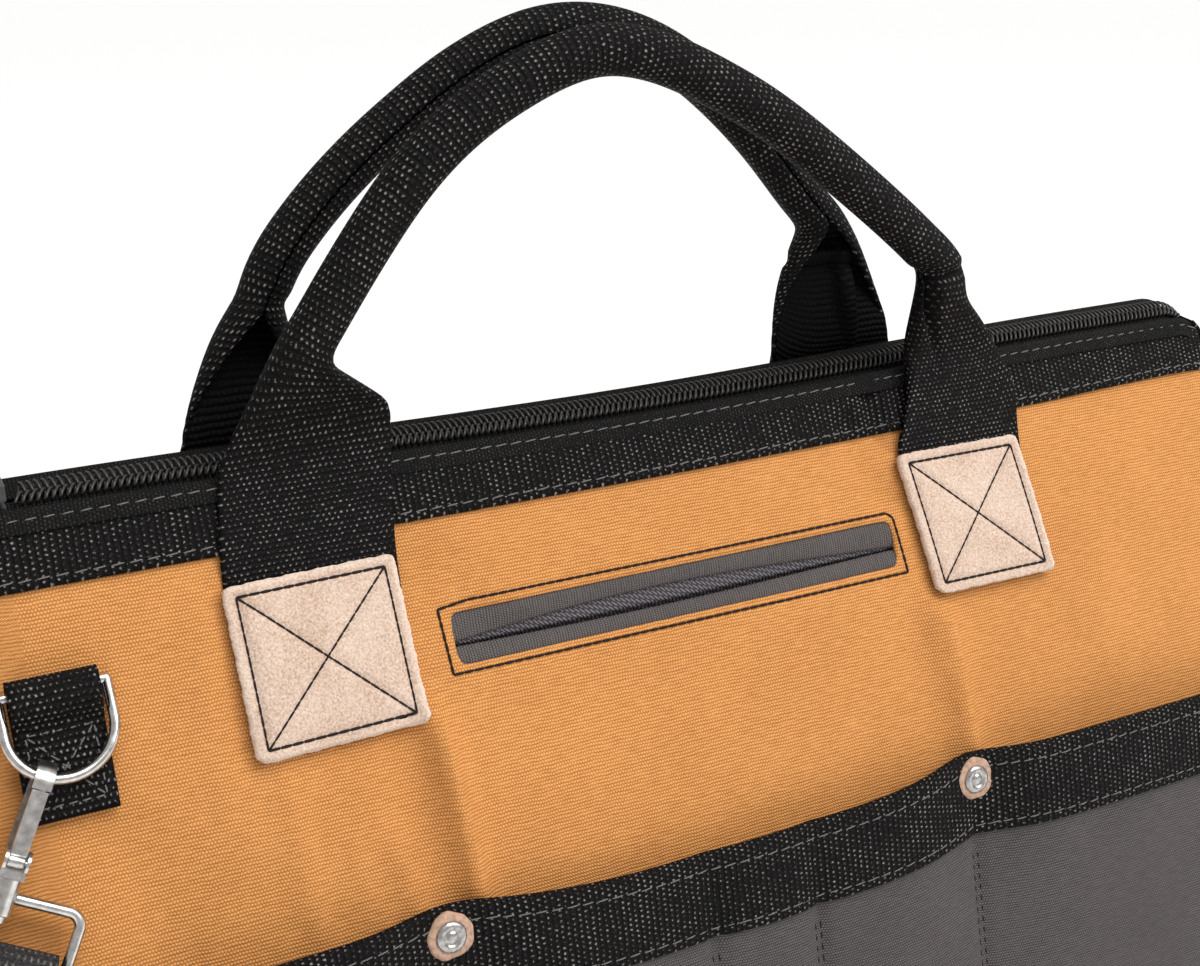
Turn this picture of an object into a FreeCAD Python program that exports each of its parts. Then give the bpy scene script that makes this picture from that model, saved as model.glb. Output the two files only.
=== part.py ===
import FreeCAD, Part
import Sketcher
import math
import os
import re

# Zippered tool bag: two leaning canvas walls, end walls, a stiff base and a zipper along the top edge.
# Millimetres. The origin is the middle of the base on the floor, +X along the zipper, front at -Y, +Z up.
# The back of the bag is the front turned half a turn about Z, with its own handle spacing.

SIZES = (
    # Walls of the bag
    ("bag_length", 480),
    ("base_depth", 220),
    ("bend_depth", 134),
    ("top_depth", 16),
    ("bag_height", 277),
    ("bend_height", 151),
    ("panel_wall", 3),
    ("corner_radius", 22),
    ("board_wall", 4),
    ("board_margin", 6),
    # Webbing bands and the pocket
    ("band_wall", 1.8),
    ("top_band_width", 23.5),
    ("pocket_band_width", 29.5),
    ("pocket_wall", 1.8),
    ("pocket_gape", 8),
    ("seam_width", 2),
    ("rivet_seam_place", 91),
    ("pen_seam_right", 24),
    ("pen_seam_left", 14),
    ("rivet_place", 96),
    ("rivet_drop", 6),
    ("rivet_head_radius", 4.7),
    ("rivet_head_height", 1.4),
    ("rivet_shank_radius", 2),
    ("washer_radius", 7.2),
    ("washer_wall", 1.5),
    ("washer_clearance", 0.2),
    # Slit pocket in the front wall
    ("slit_left", 78),
    ("slit_right", 81),
    ("slit_drop", 55),
    ("slit_width", 14.5),
    ("lip_wall", 1.6),
    ("lip_margin", 6),
    ("lip_gap", 2.2),
    ("pouch_wall", 1.5),
    ("pouch_depth", 9),
    ("pouch_drop", 70),
    # Handles
    ("web_width", 50.8),
    ("web_wall", 2.2),
    ("web_tuck", 74),
    ("hinge_gap", 0.5),
    ("patch_wall", 1.6),
    ("patch_drop", 33),
    ("patch_height", 50.5),
    ("patch_width", 50.8),
    ("grip_radius", 9),
    ("grip_lean_out", 3),
    ("flare_rise", 10),
    ("front_web_left", 118),
    ("front_web_right", 118),
    ("front_grip_left", 111),
    ("front_grip_left_rise", 35),
    ("front_grip_right", 110),
    ("front_grip_right_rise", 33),
    ("front_peak_left", 39),
    ("front_peak_rise", 135),
    ("front_bend_radius", 62),
    ("back_web_left", 89),
    ("back_web_right", 121),
    ("back_grip_left", 76),
    ("back_grip_left_rise", 46),
    ("back_grip_right", 116),
    ("back_grip_right_rise", 47),
    ("back_peak_left", -10.5),
    ("back_peak_rise", 162),
    ("back_bend_radius", 76),
    # Zipper
    ("tape_wall", 1.5),
    ("tape_inner", 2),
    ("tooth_height", 3),
    ("tooth_pitch", 4),
    ("tooth_reach", 1),
    ("tooth_clearance", 0.3),
    ("chain_outer", 4.6),
    ("zipper_end_inset", 2),
    ("zipper_end_width", 24),
    ("zipper_end_wall", 2.5),
    ("zipper_end_drop", 60),
    ("slider_length", 18),
    ("slider_wall", 1.8),
    ("slider_flange", 1.8),
    ("slider_clearance", 0.5),
    ("slider_post_length", 5),
    ("slider_post_width", 3),
    ("slider_park_gap", 1),
    ("lug_height", 6),
    ("lug_wall", 1.6),
    ("lug_length", 6),
    ("pull_width", 5),
    ("pull_blade_width", 8),
    ("pull_length", 30),
    ("pull_wall", 2),
    ("pull_pin_radius", 1),
    ("pin_clearance", 0.08),
    ("pull_gap", 0.3),
    # Ring tabs, rings, hooks and shoulder strap; the ring hangs past the middle between patch and bag's end
    ("ring_past_middle", 3.3),
    ("ring_drop", 50),
    ("ring_wire", 1.5),
    ("ring_half_width", 14.4),
    ("ring_side", 10.1),
    ("ring_tilt", 12),
    ("tab_width", 24),
    ("tab_wall", 2),
    ("tab_tail", 34.5),
    ("tab_clearance", 0.3),
    ("hook_tilt", 29),
    ("hook_wall", 5),
    ("hook_limb", 2.6),
    ("hook_inner_half", 3.6),
    ("hook_crown", 1.9),
    ("hook_inner_length", 24),
    ("hook_stem_radius", 2),
    ("hook_stem_length", 10),
    ("hook_head_radius", 3.2),
    ("hook_head_length", 1.6),
    ("gate_wall", 2),
    ("gate_nose", 3),
    ("gate_barrel", 1.9),
    ("gate_pin", 0.8),
    ("gate_clearance", 0.3),
    ("cheek_wall", 0.8),
    ("cheek_rim", 1.3),
    ("loop_wire", 1.6),
    ("loop_half_width", 22),
    ("loop_drop", 18),
    ("loop_corner", 4),
    ("boss_radius", 4),
    ("strap_width", 38),
    ("strap_wall", 2.4),
    ("strap_lift", 1.5),
    ("strap_hang", 26),
    ("strap_stand_off", 8),
)

doc = FreeCAD.newDocument("tool_bag")
sheet = doc.addObject("Spreadsheet::Sheet", "Sizes")
for row, (alias, value) in enumerate(SIZES, start=1):
    sheet.set("A%d" % row, alias)
    sheet.set("B%d" % row, str(value))
    sheet.setAlias("B%d" % row, alias)
doc.recompute()

RING_CORNERS = 12
WEB_SQUARENESS = 1.2
ARC_STEPS = 6
SKETCH_GUESS = 3
SAME_PLACE = 0.01
HALF_TURN = FreeCAD.Placement(FreeCAD.Vector(0, 0, 0), FreeCAD.Rotation(FreeCAD.Vector(0, 0, 1), 180))
SIDES = {"front": FreeCAD.Placement(), "back": HALF_TURN}
nodes = []


def size(alias):
    """The number in the sheet's cell of that name."""
    return float(sheet.get(alias))


def bound(text):
    """An expression in which each plain word becomes the sheet's cell of that name."""
    return re.sub(r"\b(?!sqrt\b)[a-z_]+\b", r"Sizes.\g<0>", text)


def keep(obj, label, placement=None):
    """Name a finished piece and put it on the list of pieces to write."""
    obj.Label = label
    if placement is not None:
        obj.Placement = placement
    nodes.append(obj)
    return obj


# Heights and depths on the leaning walls, as expressions
UPPER_RUN = "((bend_depth - top_depth) / 2)"
UPPER_RISE = "(bag_height - bend_height)"
UPPER_COS = "(%s / sqrt(%s ^ 2 + %s ^ 2))" % (UPPER_RISE, UPPER_RISE, UPPER_RUN)
POCKET_RUN = "(base_depth / 2 - bend_depth / 2 - pocket_gape)"
POCKET_COS = "(bend_height / sqrt(bend_height ^ 2 + %s ^ 2))" % POCKET_RUN


def upper_height(drop):
    """Height of a point that lies a distance down the upper wall from its top edge."""
    return "(bag_height - (%s) * %s)" % (drop, UPPER_COS)


def upper_depth(drop, out):
    """Distance from the middle plane of that point, plus a stand-off."""
    text = "(top_depth / 2 + (%s) * %s * %s / %s + (%s))"
    return text % (drop, UPPER_COS, UPPER_RUN, UPPER_RISE, out)


def pocket_height(drop):
    """Height of a point that lies a distance down the pocket from its top edge."""
    return "(bend_height - (%s) * %s)" % (drop, POCKET_COS)


def pocket_depth(drop, out):
    """Distance from the middle plane of that point on the pocket's inner face, plus a stand-off."""
    text = "(bend_depth / 2 + pocket_gape + (%s) * %s * %s / bend_height + (%s))"
    return text % (drop, POCKET_COS, POCKET_RUN, out)


def pin_corner(sketch, kind, corner, place, point=1):
    """Hold one coordinate of a sketch point at an expression; a leading minus means the negative side."""
    if place == "0":
        axis = -2 if kind == "DistanceX" else -1
        sketch.addConstraint(Sketcher.Constraint("PointOnObject", corner, point, axis))
        return
    if place.startswith("-"):
        ends = (corner, point, -1, 1)
    else:
        ends = (-1, 1, corner, point)
    index = sketch.addConstraint(Sketcher.Constraint(kind, *ends, 1.0 + corner))
    sketch.setExpression("Constraints[%d]" % index, bound(place.lstrip("-")))


def outline(body, role, corners):
    """A closed polygon sketch on an origin plane, its corners held at expressions."""
    sketch = body.newObject("Sketcher::SketchObject", "Outline")
    plane = next(item for item in body.Origin.OriginFeatures if item.Role == role)
    sketch.AttachmentSupport = (plane, [""])
    sketch.MapMode = "FlatFace"
    count = len(corners)
    spots = []
    for corner, (across, up) in enumerate(corners):
        sign_across = -1 if across.startswith("-") else 1
        sign_up = -1 if up.startswith("-") else 1
        turn = 2 * math.pi * corner / count
        across_guess = sign_across * (SKETCH_GUESS + math.cos(turn))
        up_guess = sign_up * (SKETCH_GUESS + math.sin(turn))
        spots.append(FreeCAD.Vector(across_guess, up_guess, 0))
    for corner in range(count):
        sketch.addGeometry(Part.LineSegment(spots[corner], spots[(corner + 1) % count]), False)
    for corner in range(count):
        sketch.addConstraint(Sketcher.Constraint("Coincident", corner, 2, (corner + 1) % count, 1))
    for corner, (across, up) in enumerate(corners):
        pin_corner(sketch, "DistanceX", corner, across)
        pin_corner(sketch, "DistanceY", corner, up)
    return sketch


def pad(body, sketch, length):
    """Pad a sketch the same way to both sides of its plane."""
    feature = body.newObject("PartDesign::Pad", "Pad")
    feature.Profile = sketch
    feature.Midplane = True
    feature.setExpression("Length", bound(length))
    return feature


def section(label, corners, length, centre="0", side="front"):
    """A piece of constant section along X: corners are distance in front of the middle plane, and height."""
    body = doc.addObject("PartDesign::Body", label)
    sketch = outline(body, "YZ_Plane", [("-" + depth if depth != "0" else "0", up) for depth, up in corners])
    pad(body, sketch, length)
    if side == "back":
        body.Placement = HALF_TURN
        body.setExpression("Placement.Base.x", bound("-(%s)" % centre))
    else:
        body.setExpression("Placement.Base.x", bound(centre))
    return keep(body, label)


def upper_strip(label, top, bottom, out, wall, length, centre="0", side="front"):
    """A flat piece on the upper wall between two distances down from its top edge."""
    corners = [
        (upper_depth(top, out), upper_height(top)),
        (upper_depth(bottom, out), upper_height(bottom)),
        (upper_depth(bottom, "%s + %s" % (out, wall)), upper_height(bottom)),
        (upper_depth(top, "%s + %s" % (out, wall)), upper_height(top)),
    ]
    return section(label, corners, length, centre, side)


def fillet_edges(body, spots, radius):
    """Round the straight edges along Y that pass over the given X and Z places."""
    doc.recompute()
    solid = body.Tip
    names = []
    for number, edge in enumerate(solid.Shape.Edges, start=1):
        box = edge.BoundBox
        along_depth = max(box.XLength, box.ZLength) < SAME_PLACE
        for across, up in spots:
            off = max(abs(box.Center.x - across), abs(box.Center.z - up))
            if along_depth and off < SAME_PLACE:
                names.append("Edge%d" % number)
    feature = body.newObject("PartDesign::Fillet", "Round")
    feature.Base = (solid, names)
    feature.setExpression("Radius", bound(radius))
    return feature


def cylinder(radius, length, base, axis=(0, 0, 1)):
    """A solid cylinder from a base point along an axis."""
    return Part.makeCylinder(radius, length, FreeCAD.Vector(*base), FreeCAD.Vector(*axis))


def feature_piece(label, shape, placement=FreeCAD.Placement()):
    """A piece whose shape is worked out from the sheet here."""
    obj = doc.addObject("Part::Feature", label)
    obj.Shape = shape.removeSplitter()
    return keep(obj, label, placement)


# Canvas walls, with the top corners of the long walls rounded
WALL_CORNERS = [
    ("base_depth / 2", "0"),
    ("bend_depth / 2", "bend_height"),
    ("top_depth / 2", "bag_height"),
    ("(top_depth / 2 - panel_wall)", "bag_height"),
    ("(bend_depth / 2 - panel_wall)", "bend_height"),
    ("(base_depth / 2 - panel_wall)", "0"),
]
half_length = size("bag_length") / 2


def round_corner(wall, sign):
    """Cut a top corner of a long wall round: all of a square corner but a quarter circle."""
    radius = size("corner_radius")
    start = half_length - radius
    low = size("bag_height") - radius
    spots = [(start, low + radius), (start, low + 2 * radius), (start + 2 * radius, low + 2 * radius),
             (start + 2 * radius, low), (start + radius, low)]
    points = [FreeCAD.Vector(sign * across, up, 0) for across, up in spots]
    sketch = wall.newObject("Sketcher::SketchObject", "Corner")
    plane = next(item for item in wall.Origin.OriginFeatures if item.Role == "XZ_Plane")
    sketch.AttachmentSupport = (plane, [""])
    sketch.MapMode = "FlatFace"
    for first, second in zip(points, points[1:]):
        sketch.addGeometry(Part.LineSegment(first, second), False)
    for line in range(len(points) - 2):
        sketch.addConstraint(Sketcher.Constraint("Coincident", line, 2, line + 1, 1))
    middle = FreeCAD.Vector(sign * start, low, 0)
    circle = Part.Circle(middle, FreeCAD.Vector(0, 0, 1), radius)
    quarter = (0, math.pi / 2) if sign > 0 else (math.pi / 2, math.pi)
    arc = sketch.addGeometry(Part.ArcOfCircle(circle, *quarter), False)
    arc_low, arc_high = (1, 2) if sign > 0 else (2, 1)
    sketch.addConstraint(Sketcher.Constraint("Coincident", len(points) - 2, 2, arc, arc_low))
    sketch.addConstraint(Sketcher.Constraint("Coincident", 0, 1, arc, arc_high))
    side = "" if sign > 0 else "-"
    edge = side + "(bag_length / 2 - corner_radius)"
    beyond = side + "(bag_length / 2 + corner_radius)"
    ends = [(edge, "bag_height"), (edge, "(bag_height + corner_radius)"),
            (beyond, "(bag_height + corner_radius)"), (beyond, "(bag_height - corner_radius)")]
    for line, (across, up) in enumerate(ends):
        pin_corner(sketch, "DistanceX", line, across)
        pin_corner(sketch, "DistanceY", line, up)
    pin_corner(sketch, "DistanceX", len(points) - 2, side + "(bag_length / 2)", 2)
    pin_corner(sketch, "DistanceX", arc, edge, 3)
    sketch.addConstraint(Sketcher.Constraint("Horizontal", len(points) - 2))
    cut = wall.newObject("PartDesign::Pocket", "RoundCorner")
    cut.Profile = sketch
    cut.Type = "ThroughAll"
    cut.Midplane = True


def long_wall(side):
    """A long wall: bent plate, rounded top corners, and on the front the window of the slit pocket."""
    wall = section(side + "_panel", WALL_CORNERS, "bag_length", side=side)
    for sign in (-1, 1):
        round_corner(wall, sign)
    if side == "back":
        return wall
    window = outline(wall, "XZ_Plane", [
        ("-slit_left", upper_height("slit_drop")),
        ("-slit_left", upper_height("slit_drop + slit_width")),
        ("slit_right", upper_height("slit_drop + slit_width")),
        ("slit_right", upper_height("slit_drop")),
    ])
    cut = wall.newObject("PartDesign::Pocket", "Window")
    cut.Profile = window
    cut.Type = "ThroughAll"
    cut.Midplane = True
    return wall


def end_wall(label, sign):
    """An end wall between the long walls, up to where the top corner starts to round."""
    body = doc.addObject("PartDesign::Body", label)
    top = "(bag_height - corner_radius)"
    top_reach = "(top_depth / 2 - panel_wall + corner_radius * %s / %s)" % (UPPER_RUN, UPPER_RISE)
    corners = [
        ("-(base_depth / 2 - panel_wall)", "0"),
        ("-(bend_depth / 2 - panel_wall)", "bend_height"),
        ("-" + top_reach, top),
        (top_reach, top),
        ("(bend_depth / 2 - panel_wall)", "bend_height"),
        ("(base_depth / 2 - panel_wall)", "0"),
    ]
    pad(body, outline(body, "YZ_Plane", corners), "panel_wall")
    body.setExpression("Placement.Base.x", bound("%d * (bag_length - panel_wall) / 2" % sign))
    return keep(body, label)


def floor_plate(label, low, high, margin, inset):
    """A plate across the bag between two heights, cut to the lean of the long walls."""
    lean = "(base_depth - bend_depth) / (2 * bend_height)"
    half = "(base_depth / 2 - panel_wall - (%s) * " + lean + " - " + margin + ")"
    low_half = half % low
    high_half = half % high
    body = doc.addObject("PartDesign::Body", label)
    corners = [("-" + low_half, low), ("-" + high_half, high), (high_half, high), (low_half, low)]
    pad(body, outline(body, "YZ_Plane", corners), "bag_length - 2 * panel_wall - 2 * " + inset)
    return keep(body, label)


for side in SIDES:
    long_wall(side)
end_wall("left_end_panel", -1)
end_wall("right_end_panel", 1)
floor_plate("base_panel", "0", "panel_wall", "0", "0")
floor_plate("base_board", "panel_wall", "(panel_wall + board_wall)", "board_margin", "board_margin")


# Pockets on the long walls: a sheet that gapes at the top, sewn down along its seams
def pocket(side):
    """The pocket's canvas with its sewn seams, as wedges between the sheet and the wall."""
    label = side + "_pocket"
    sheet_corners = [
        ("base_depth / 2", "0"),
        ("(bend_depth / 2 + pocket_gape)", "bend_height"),
        ("(bend_depth / 2 + pocket_gape + pocket_wall)", "bend_height"),
        ("(base_depth / 2 + pocket_wall)", "0"),
    ]
    body = section(label, sheet_corners, "bag_length", side=side)
    wedge = [
        ("-(base_depth / 2)", "0"),
        ("-(bend_depth / 2)", "bend_height"),
        ("-(bend_depth / 2 + pocket_gape)", "bend_height"),
    ]
    end_seam = "(bag_length / 2 - seam_width / 2)"
    pen_seams = ["-pen_seam_left", "pen_seam_right"]
    seams = ["-" + end_seam, "-rivet_seam_place"] + pen_seams + ["rivet_seam_place", end_seam]
    for place in seams:
        sketch = outline(body, "YZ_Plane", wedge)
        sketch.setExpression("AttachmentOffset.Base.z", bound(place))
        pad(body, sketch, "seam_width")
    return body


def pocket_band(side):
    """The webbing along the pocket's top edge."""
    corners = [
        (pocket_depth("0", "pocket_wall"), pocket_height("0")),
        (pocket_depth("pocket_band_width", "pocket_wall"), pocket_height("pocket_band_width")),
        (pocket_depth("pocket_band_width", "pocket_wall + band_wall"), pocket_height("pocket_band_width")),
        (pocket_depth("0", "pocket_wall + band_wall"), pocket_height("0")),
    ]
    return section(side + "_pocket_band", corners, "bag_length", side=side)


def rivet_spots(side):
    """Placements of a side's rivets: on the band's face, their axis square to it."""
    run = size("base_depth") / 2 - size("bend_depth") / 2 - size("pocket_gape")
    lean = math.atan2(run, size("bend_height"))
    height = size("bend_height") - size("rivet_drop") * math.cos(lean)
    depth = size("bend_depth") / 2 + size("pocket_gape") + size("pocket_wall") + size("band_wall")
    depth += size("rivet_drop") * math.sin(lean)
    outward = FreeCAD.Vector(0, -math.cos(lean), math.sin(lean))
    turn = FreeCAD.Rotation(FreeCAD.Vector(0, 0, 1), outward)
    spots = []
    for sign in (-1, 1):
        base = FreeCAD.Vector(sign * size("rivet_place"), -depth, height)
        spots.append(SIDES[side].multiply(FreeCAD.Placement(base, turn)))
    return spots


def rivets(side):
    """Domed rivets that clamp washer, band, pocket and wall together."""
    wall = size("washer_wall")
    grip = size("band_wall") + size("pocket_wall") + size("pocket_gape") + size("panel_wall")
    radius = size("rivet_head_radius")
    rise = size("rivet_head_height")
    dome_radius = (radius ** 2 + rise ** 2) / (2 * rise)
    ball = Part.makeSphere(dome_radius, FreeCAD.Vector(0, 0, wall + rise - dome_radius))
    dome = ball.common(cylinder(radius, rise, (0, 0, wall)))
    shank = cylinder(size("rivet_shank_radius"), grip + wall, (0, 0, -grip))
    rivet = dome.fuse(shank)
    ring = cylinder(size("washer_radius"), wall, (0, 0, 0))
    ring = ring.cut(cylinder(size("rivet_shank_radius") + size("washer_clearance"), wall, (0, 0, 0)))
    spots = rivet_spots(side)
    for label, shape in ((side + "_rivets", rivet), (side + "_rivet_washers", ring)):
        copies = []
        for spot in spots:
            copy = shape.removeSplitter()
            copy.Placement = spot
            copies.append(copy)
        obj = doc.addObject("Part::Feature", label)
        obj.Shape = Part.makeCompound(copies)
        keep(obj, label)


for side in SIDES:
    pocket(side)
    pocket_band(side)
    rivets(side)
    band_length = "bag_length - 2 * corner_radius"
    upper_strip(side + "_top_band", "0", "top_band_width", "0", "band_wall", band_length, side=side)

# Slit pocket: two lips behind the window and the pouch that they open into
WINDOW_LENGTH = "slit_left + slit_right + 2 * lip_margin"
WINDOW_CENTRE = "(slit_right - slit_left) / 2"
SLIT_MIDDLE = "slit_drop + slit_width / 2"
BEHIND_WALL = "0 - panel_wall - lip_wall"
upper_strip("slit_upper_lip", "slit_drop - lip_margin", SLIT_MIDDLE + " - lip_gap / 2", BEHIND_WALL,
            "lip_wall", WINDOW_LENGTH, WINDOW_CENTRE)
upper_strip("slit_lower_lip", SLIT_MIDDLE + " + lip_gap / 2", "slit_drop + slit_width + lip_margin",
            BEHIND_WALL, "lip_wall", WINDOW_LENGTH, WINDOW_CENTRE)
POUCH_TOP = "slit_drop - lip_margin - 2 * pouch_wall"
POUCH_BOTTOM = "slit_drop + pouch_drop"
POUCH_ROOF = POUCH_TOP + " + pouch_wall"
POUCH_FLOOR = POUCH_BOTTOM + " - pouch_wall"
POUCH_BACK = "0 - panel_wall - pouch_depth"
section("slit_pouch", [
    (upper_depth(POUCH_TOP, "0 - panel_wall"), upper_height(POUCH_TOP)),
    (upper_depth(POUCH_TOP, POUCH_BACK), upper_height(POUCH_TOP)),
    (upper_depth(POUCH_BOTTOM, POUCH_BACK), upper_height(POUCH_BOTTOM)),
    (upper_depth(POUCH_BOTTOM, "0 - panel_wall"), upper_height(POUCH_BOTTOM)),
    (upper_depth(POUCH_FLOOR, "0 - panel_wall"), upper_height(POUCH_FLOOR)),
    (upper_depth(POUCH_FLOOR, POUCH_BACK + " + pouch_wall"), upper_height(POUCH_FLOOR)),
    (upper_depth(POUCH_ROOF, POUCH_BACK + " + pouch_wall"), upper_height(POUCH_ROOF)),
    (upper_depth(POUCH_ROOF, "0 - panel_wall"), upper_height(POUCH_ROOF)),
], WINDOW_LENGTH, WINDOW_CENTRE)

# Handles: sewn web ends under leather patches, and a grip that folds over at the top band
HINGE_OUT = size("top_depth") / 2 + size("band_wall") + size("web_wall")


def web_section(centre, height, half_width, half_wall, depth, slope):
    """A cornered ring across the handle, from flat web to round grip; slope turns it in the XZ plane."""
    across = FreeCAD.Vector(math.cos(slope), 0, math.sin(slope))
    middle = FreeCAD.Vector(centre, -depth, height)
    flat_factor = math.cos(math.pi / RING_CORNERS)
    points = []
    for step in range(RING_CORNERS):
        turn = 2 * math.pi * (step + 1 / 2) / RING_CORNERS
        wide = half_width * math.cos(turn) / flat_factor
        if half_wall < half_width / 2:
            deep = half_wall * max(-1.0, min(1.0, WEB_SQUARENESS * math.sin(turn)))
        else:
            deep = half_wall * math.sin(turn) / flat_factor
        points.append(middle + across * wide + FreeCAD.Vector(0, deep, 0))
    points.append(points[0])
    return Part.makePolygon(points)


def handle_rings(side):
    """Rings of a handle's free part: flat web, flare, round grip along two runs and one arc, flare, flat web.

    The rings' width axis turns from level at the left web to the inside of the arch and on to the right web.
    """
    top = size("bag_height") + size("hinge_gap")
    web_half = size("web_width") / 2
    wall_half = size("web_wall") / 2
    radius = size("grip_radius")
    web_depth = HINGE_OUT - wall_half
    grip_depth = web_depth + size("grip_lean_out")
    base = size("bag_height")
    left = FreeCAD.Vector(-size(side + "_grip_left"), 0, base + size(side + "_grip_left_rise"))
    right = FreeCAD.Vector(size(side + "_grip_right"), 0, base + size(side + "_grip_right_rise"))
    peak = FreeCAD.Vector(-size(side + "_peak_left"), 0, base + size(side + "_peak_rise"))
    bend = size(side + "_bend_radius")
    rise = math.atan2(peak.z - left.z, peak.x - left.x)
    fall = math.atan2(right.z - peak.z, right.x - peak.x)
    reach = bend * math.tan((rise - fall) / 2)
    start = peak + (left - peak).normalize() * reach
    middle = start + FreeCAD.Vector(math.sin(rise), 0, -math.cos(rise)) * bend
    flats = []
    for place, slope in ((-size(side + "_web_left"), 0.0), (size(side + "_web_right"), -math.pi)):
        for height in (top, top + size("flare_rise")):
            flats.append((place, height, web_half, wall_half, web_depth, slope))
    grip = [(left.x, left.z, radius, radius, grip_depth, rise - math.pi / 2)]
    for step in range(ARC_STEPS + 1):
        turn = rise + (fall - rise) * step / ARC_STEPS
        spot = middle + FreeCAD.Vector(-math.sin(turn), 0, math.cos(turn)) * bend
        grip.append((spot.x, spot.z, radius, radius, grip_depth, turn - math.pi / 2))
    grip.append((right.x, right.z, radius, radius, grip_depth, fall - math.pi / 2))
    return flats[:2] + grip + flats[:1:-1]


def handle_loft(side):
    """A ruled loft through the handle's rings."""
    wires = [web_section(*ring) for ring in handle_rings(side)]
    feature_piece(side + "_handle_grip", Part.makeLoft(wires, True, True), SIDES[side])


for side in SIDES:
    handle_loft(side)
    for end in ("left", "right"):
        sign = "-" if end == "left" else ""
        centre = "%s%s_web_%s" % (sign, side, end)
        name = "%s_%s" % (side, end)
        upper_strip(name + "_web_end", "hinge_gap", "web_tuck", "band_wall",
                    "web_wall", "web_width", centre, side)
        upper_strip(name + "_patch", "patch_drop", "patch_drop + patch_height", "band_wall + web_wall",
                    "patch_wall", "patch_width", centre, side)

# Zipper: tapes on the wall's top edges, two combs of teeth that interlock, and curved ends over the corners
chain_end = half_length - size("corner_radius") - size("zipper_end_inset")
slider_half = size("slider_length") / 2
slider_place = -chain_end + size("slider_park_gap") + slider_half
tape_top = size("bag_height") + size("tape_wall")


def zipper_tape(side):
    """Woven tape from the wall's top edge to the chain."""
    return section(side + "_zipper_tape", [
        ("top_depth / 2", "bag_height"),
        ("top_depth / 2", "(bag_height + tape_wall)"),
        ("tape_inner", "(bag_height + tape_wall)"),
        ("tape_inner", "bag_height"),
    ], "bag_length - 2 * corner_radius - 2 * zipper_end_inset", side=side)


def teeth(side):
    """A comb of teeth; half a turn about Z brings the other side's teeth into this one's gaps."""
    pitch = size("tooth_pitch")
    root = -size("tooth_reach") - size("tooth_clearance")
    half_tooth = pitch / 4 - size("tooth_clearance") / 2
    chain_start = slider_place + slider_half + pitch
    low, high = (chain_start, chain_end) if side == "front" else (-chain_end, -chain_start)
    points = [(low, -size("chain_outer")), (low, root)]
    count = int((high - low) / pitch) + 1
    first = math.ceil(low / pitch)
    for step in range(count):
        middle = (first + step) * pitch + pitch / 4
        if low < middle - half_tooth and middle + half_tooth < high:
            points.append((middle - half_tooth, root))
            points.append((middle - half_tooth, size("tooth_reach")))
            points.append((middle + half_tooth, size("tooth_reach")))
            points.append((middle + half_tooth, root))
    points.append((high, root))
    points.append((high, -size("chain_outer")))
    corners = [FreeCAD.Vector(across, deep, tape_top) for across, deep in points]
    face = Part.Face(Part.makePolygon(corners + corners[:1]))
    comb = face.extrude(FreeCAD.Vector(0, 0, size("tooth_height")))
    feature_piece(side + "_zipper_teeth", comb, SIDES[side])


def zipper_end(label, sign):
    """The zipper's end, folded over the top corner and sewn down the end wall."""
    body = doc.addObject("PartDesign::Body", label)
    gap = "tab_clearance"
    start = "(bag_length / 2 - corner_radius - zipper_end_inset / 2)"
    inner = "(bag_length / 2 + %s)" % gap
    outer = "(bag_length / 2 + %s + zipper_end_wall)" % gap
    low = "(bag_height - corner_radius - zipper_end_drop)"
    under = "(bag_height + %s)" % gap
    over = "(bag_height + %s + zipper_end_wall)" % gap
    corners = [(outer, low), (outer, over), (start, over), (start, under), (inner, under), (inner, low)]
    pad(body, outline(body, "XZ_Plane", corners), "zipper_end_width")
    clearance = size("tab_clearance")
    wall = size("zipper_end_wall")
    fillet_edges(body, [(half_length + clearance, size("bag_height") + clearance)], "corner_radius + " + gap)
    fillet_edges(body, [(half_length + clearance + wall, size("bag_height") + clearance + wall)],
                 "corner_radius + %s + zipper_end_wall" % gap)
    return keep(body, label, SIDES["front"] if sign > 0 else HALF_TURN)


for side in SIDES:
    zipper_tape(side)
    teeth(side)
zipper_end("left_zipper_end", -1)
zipper_end("right_zipper_end", 1)


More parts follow.
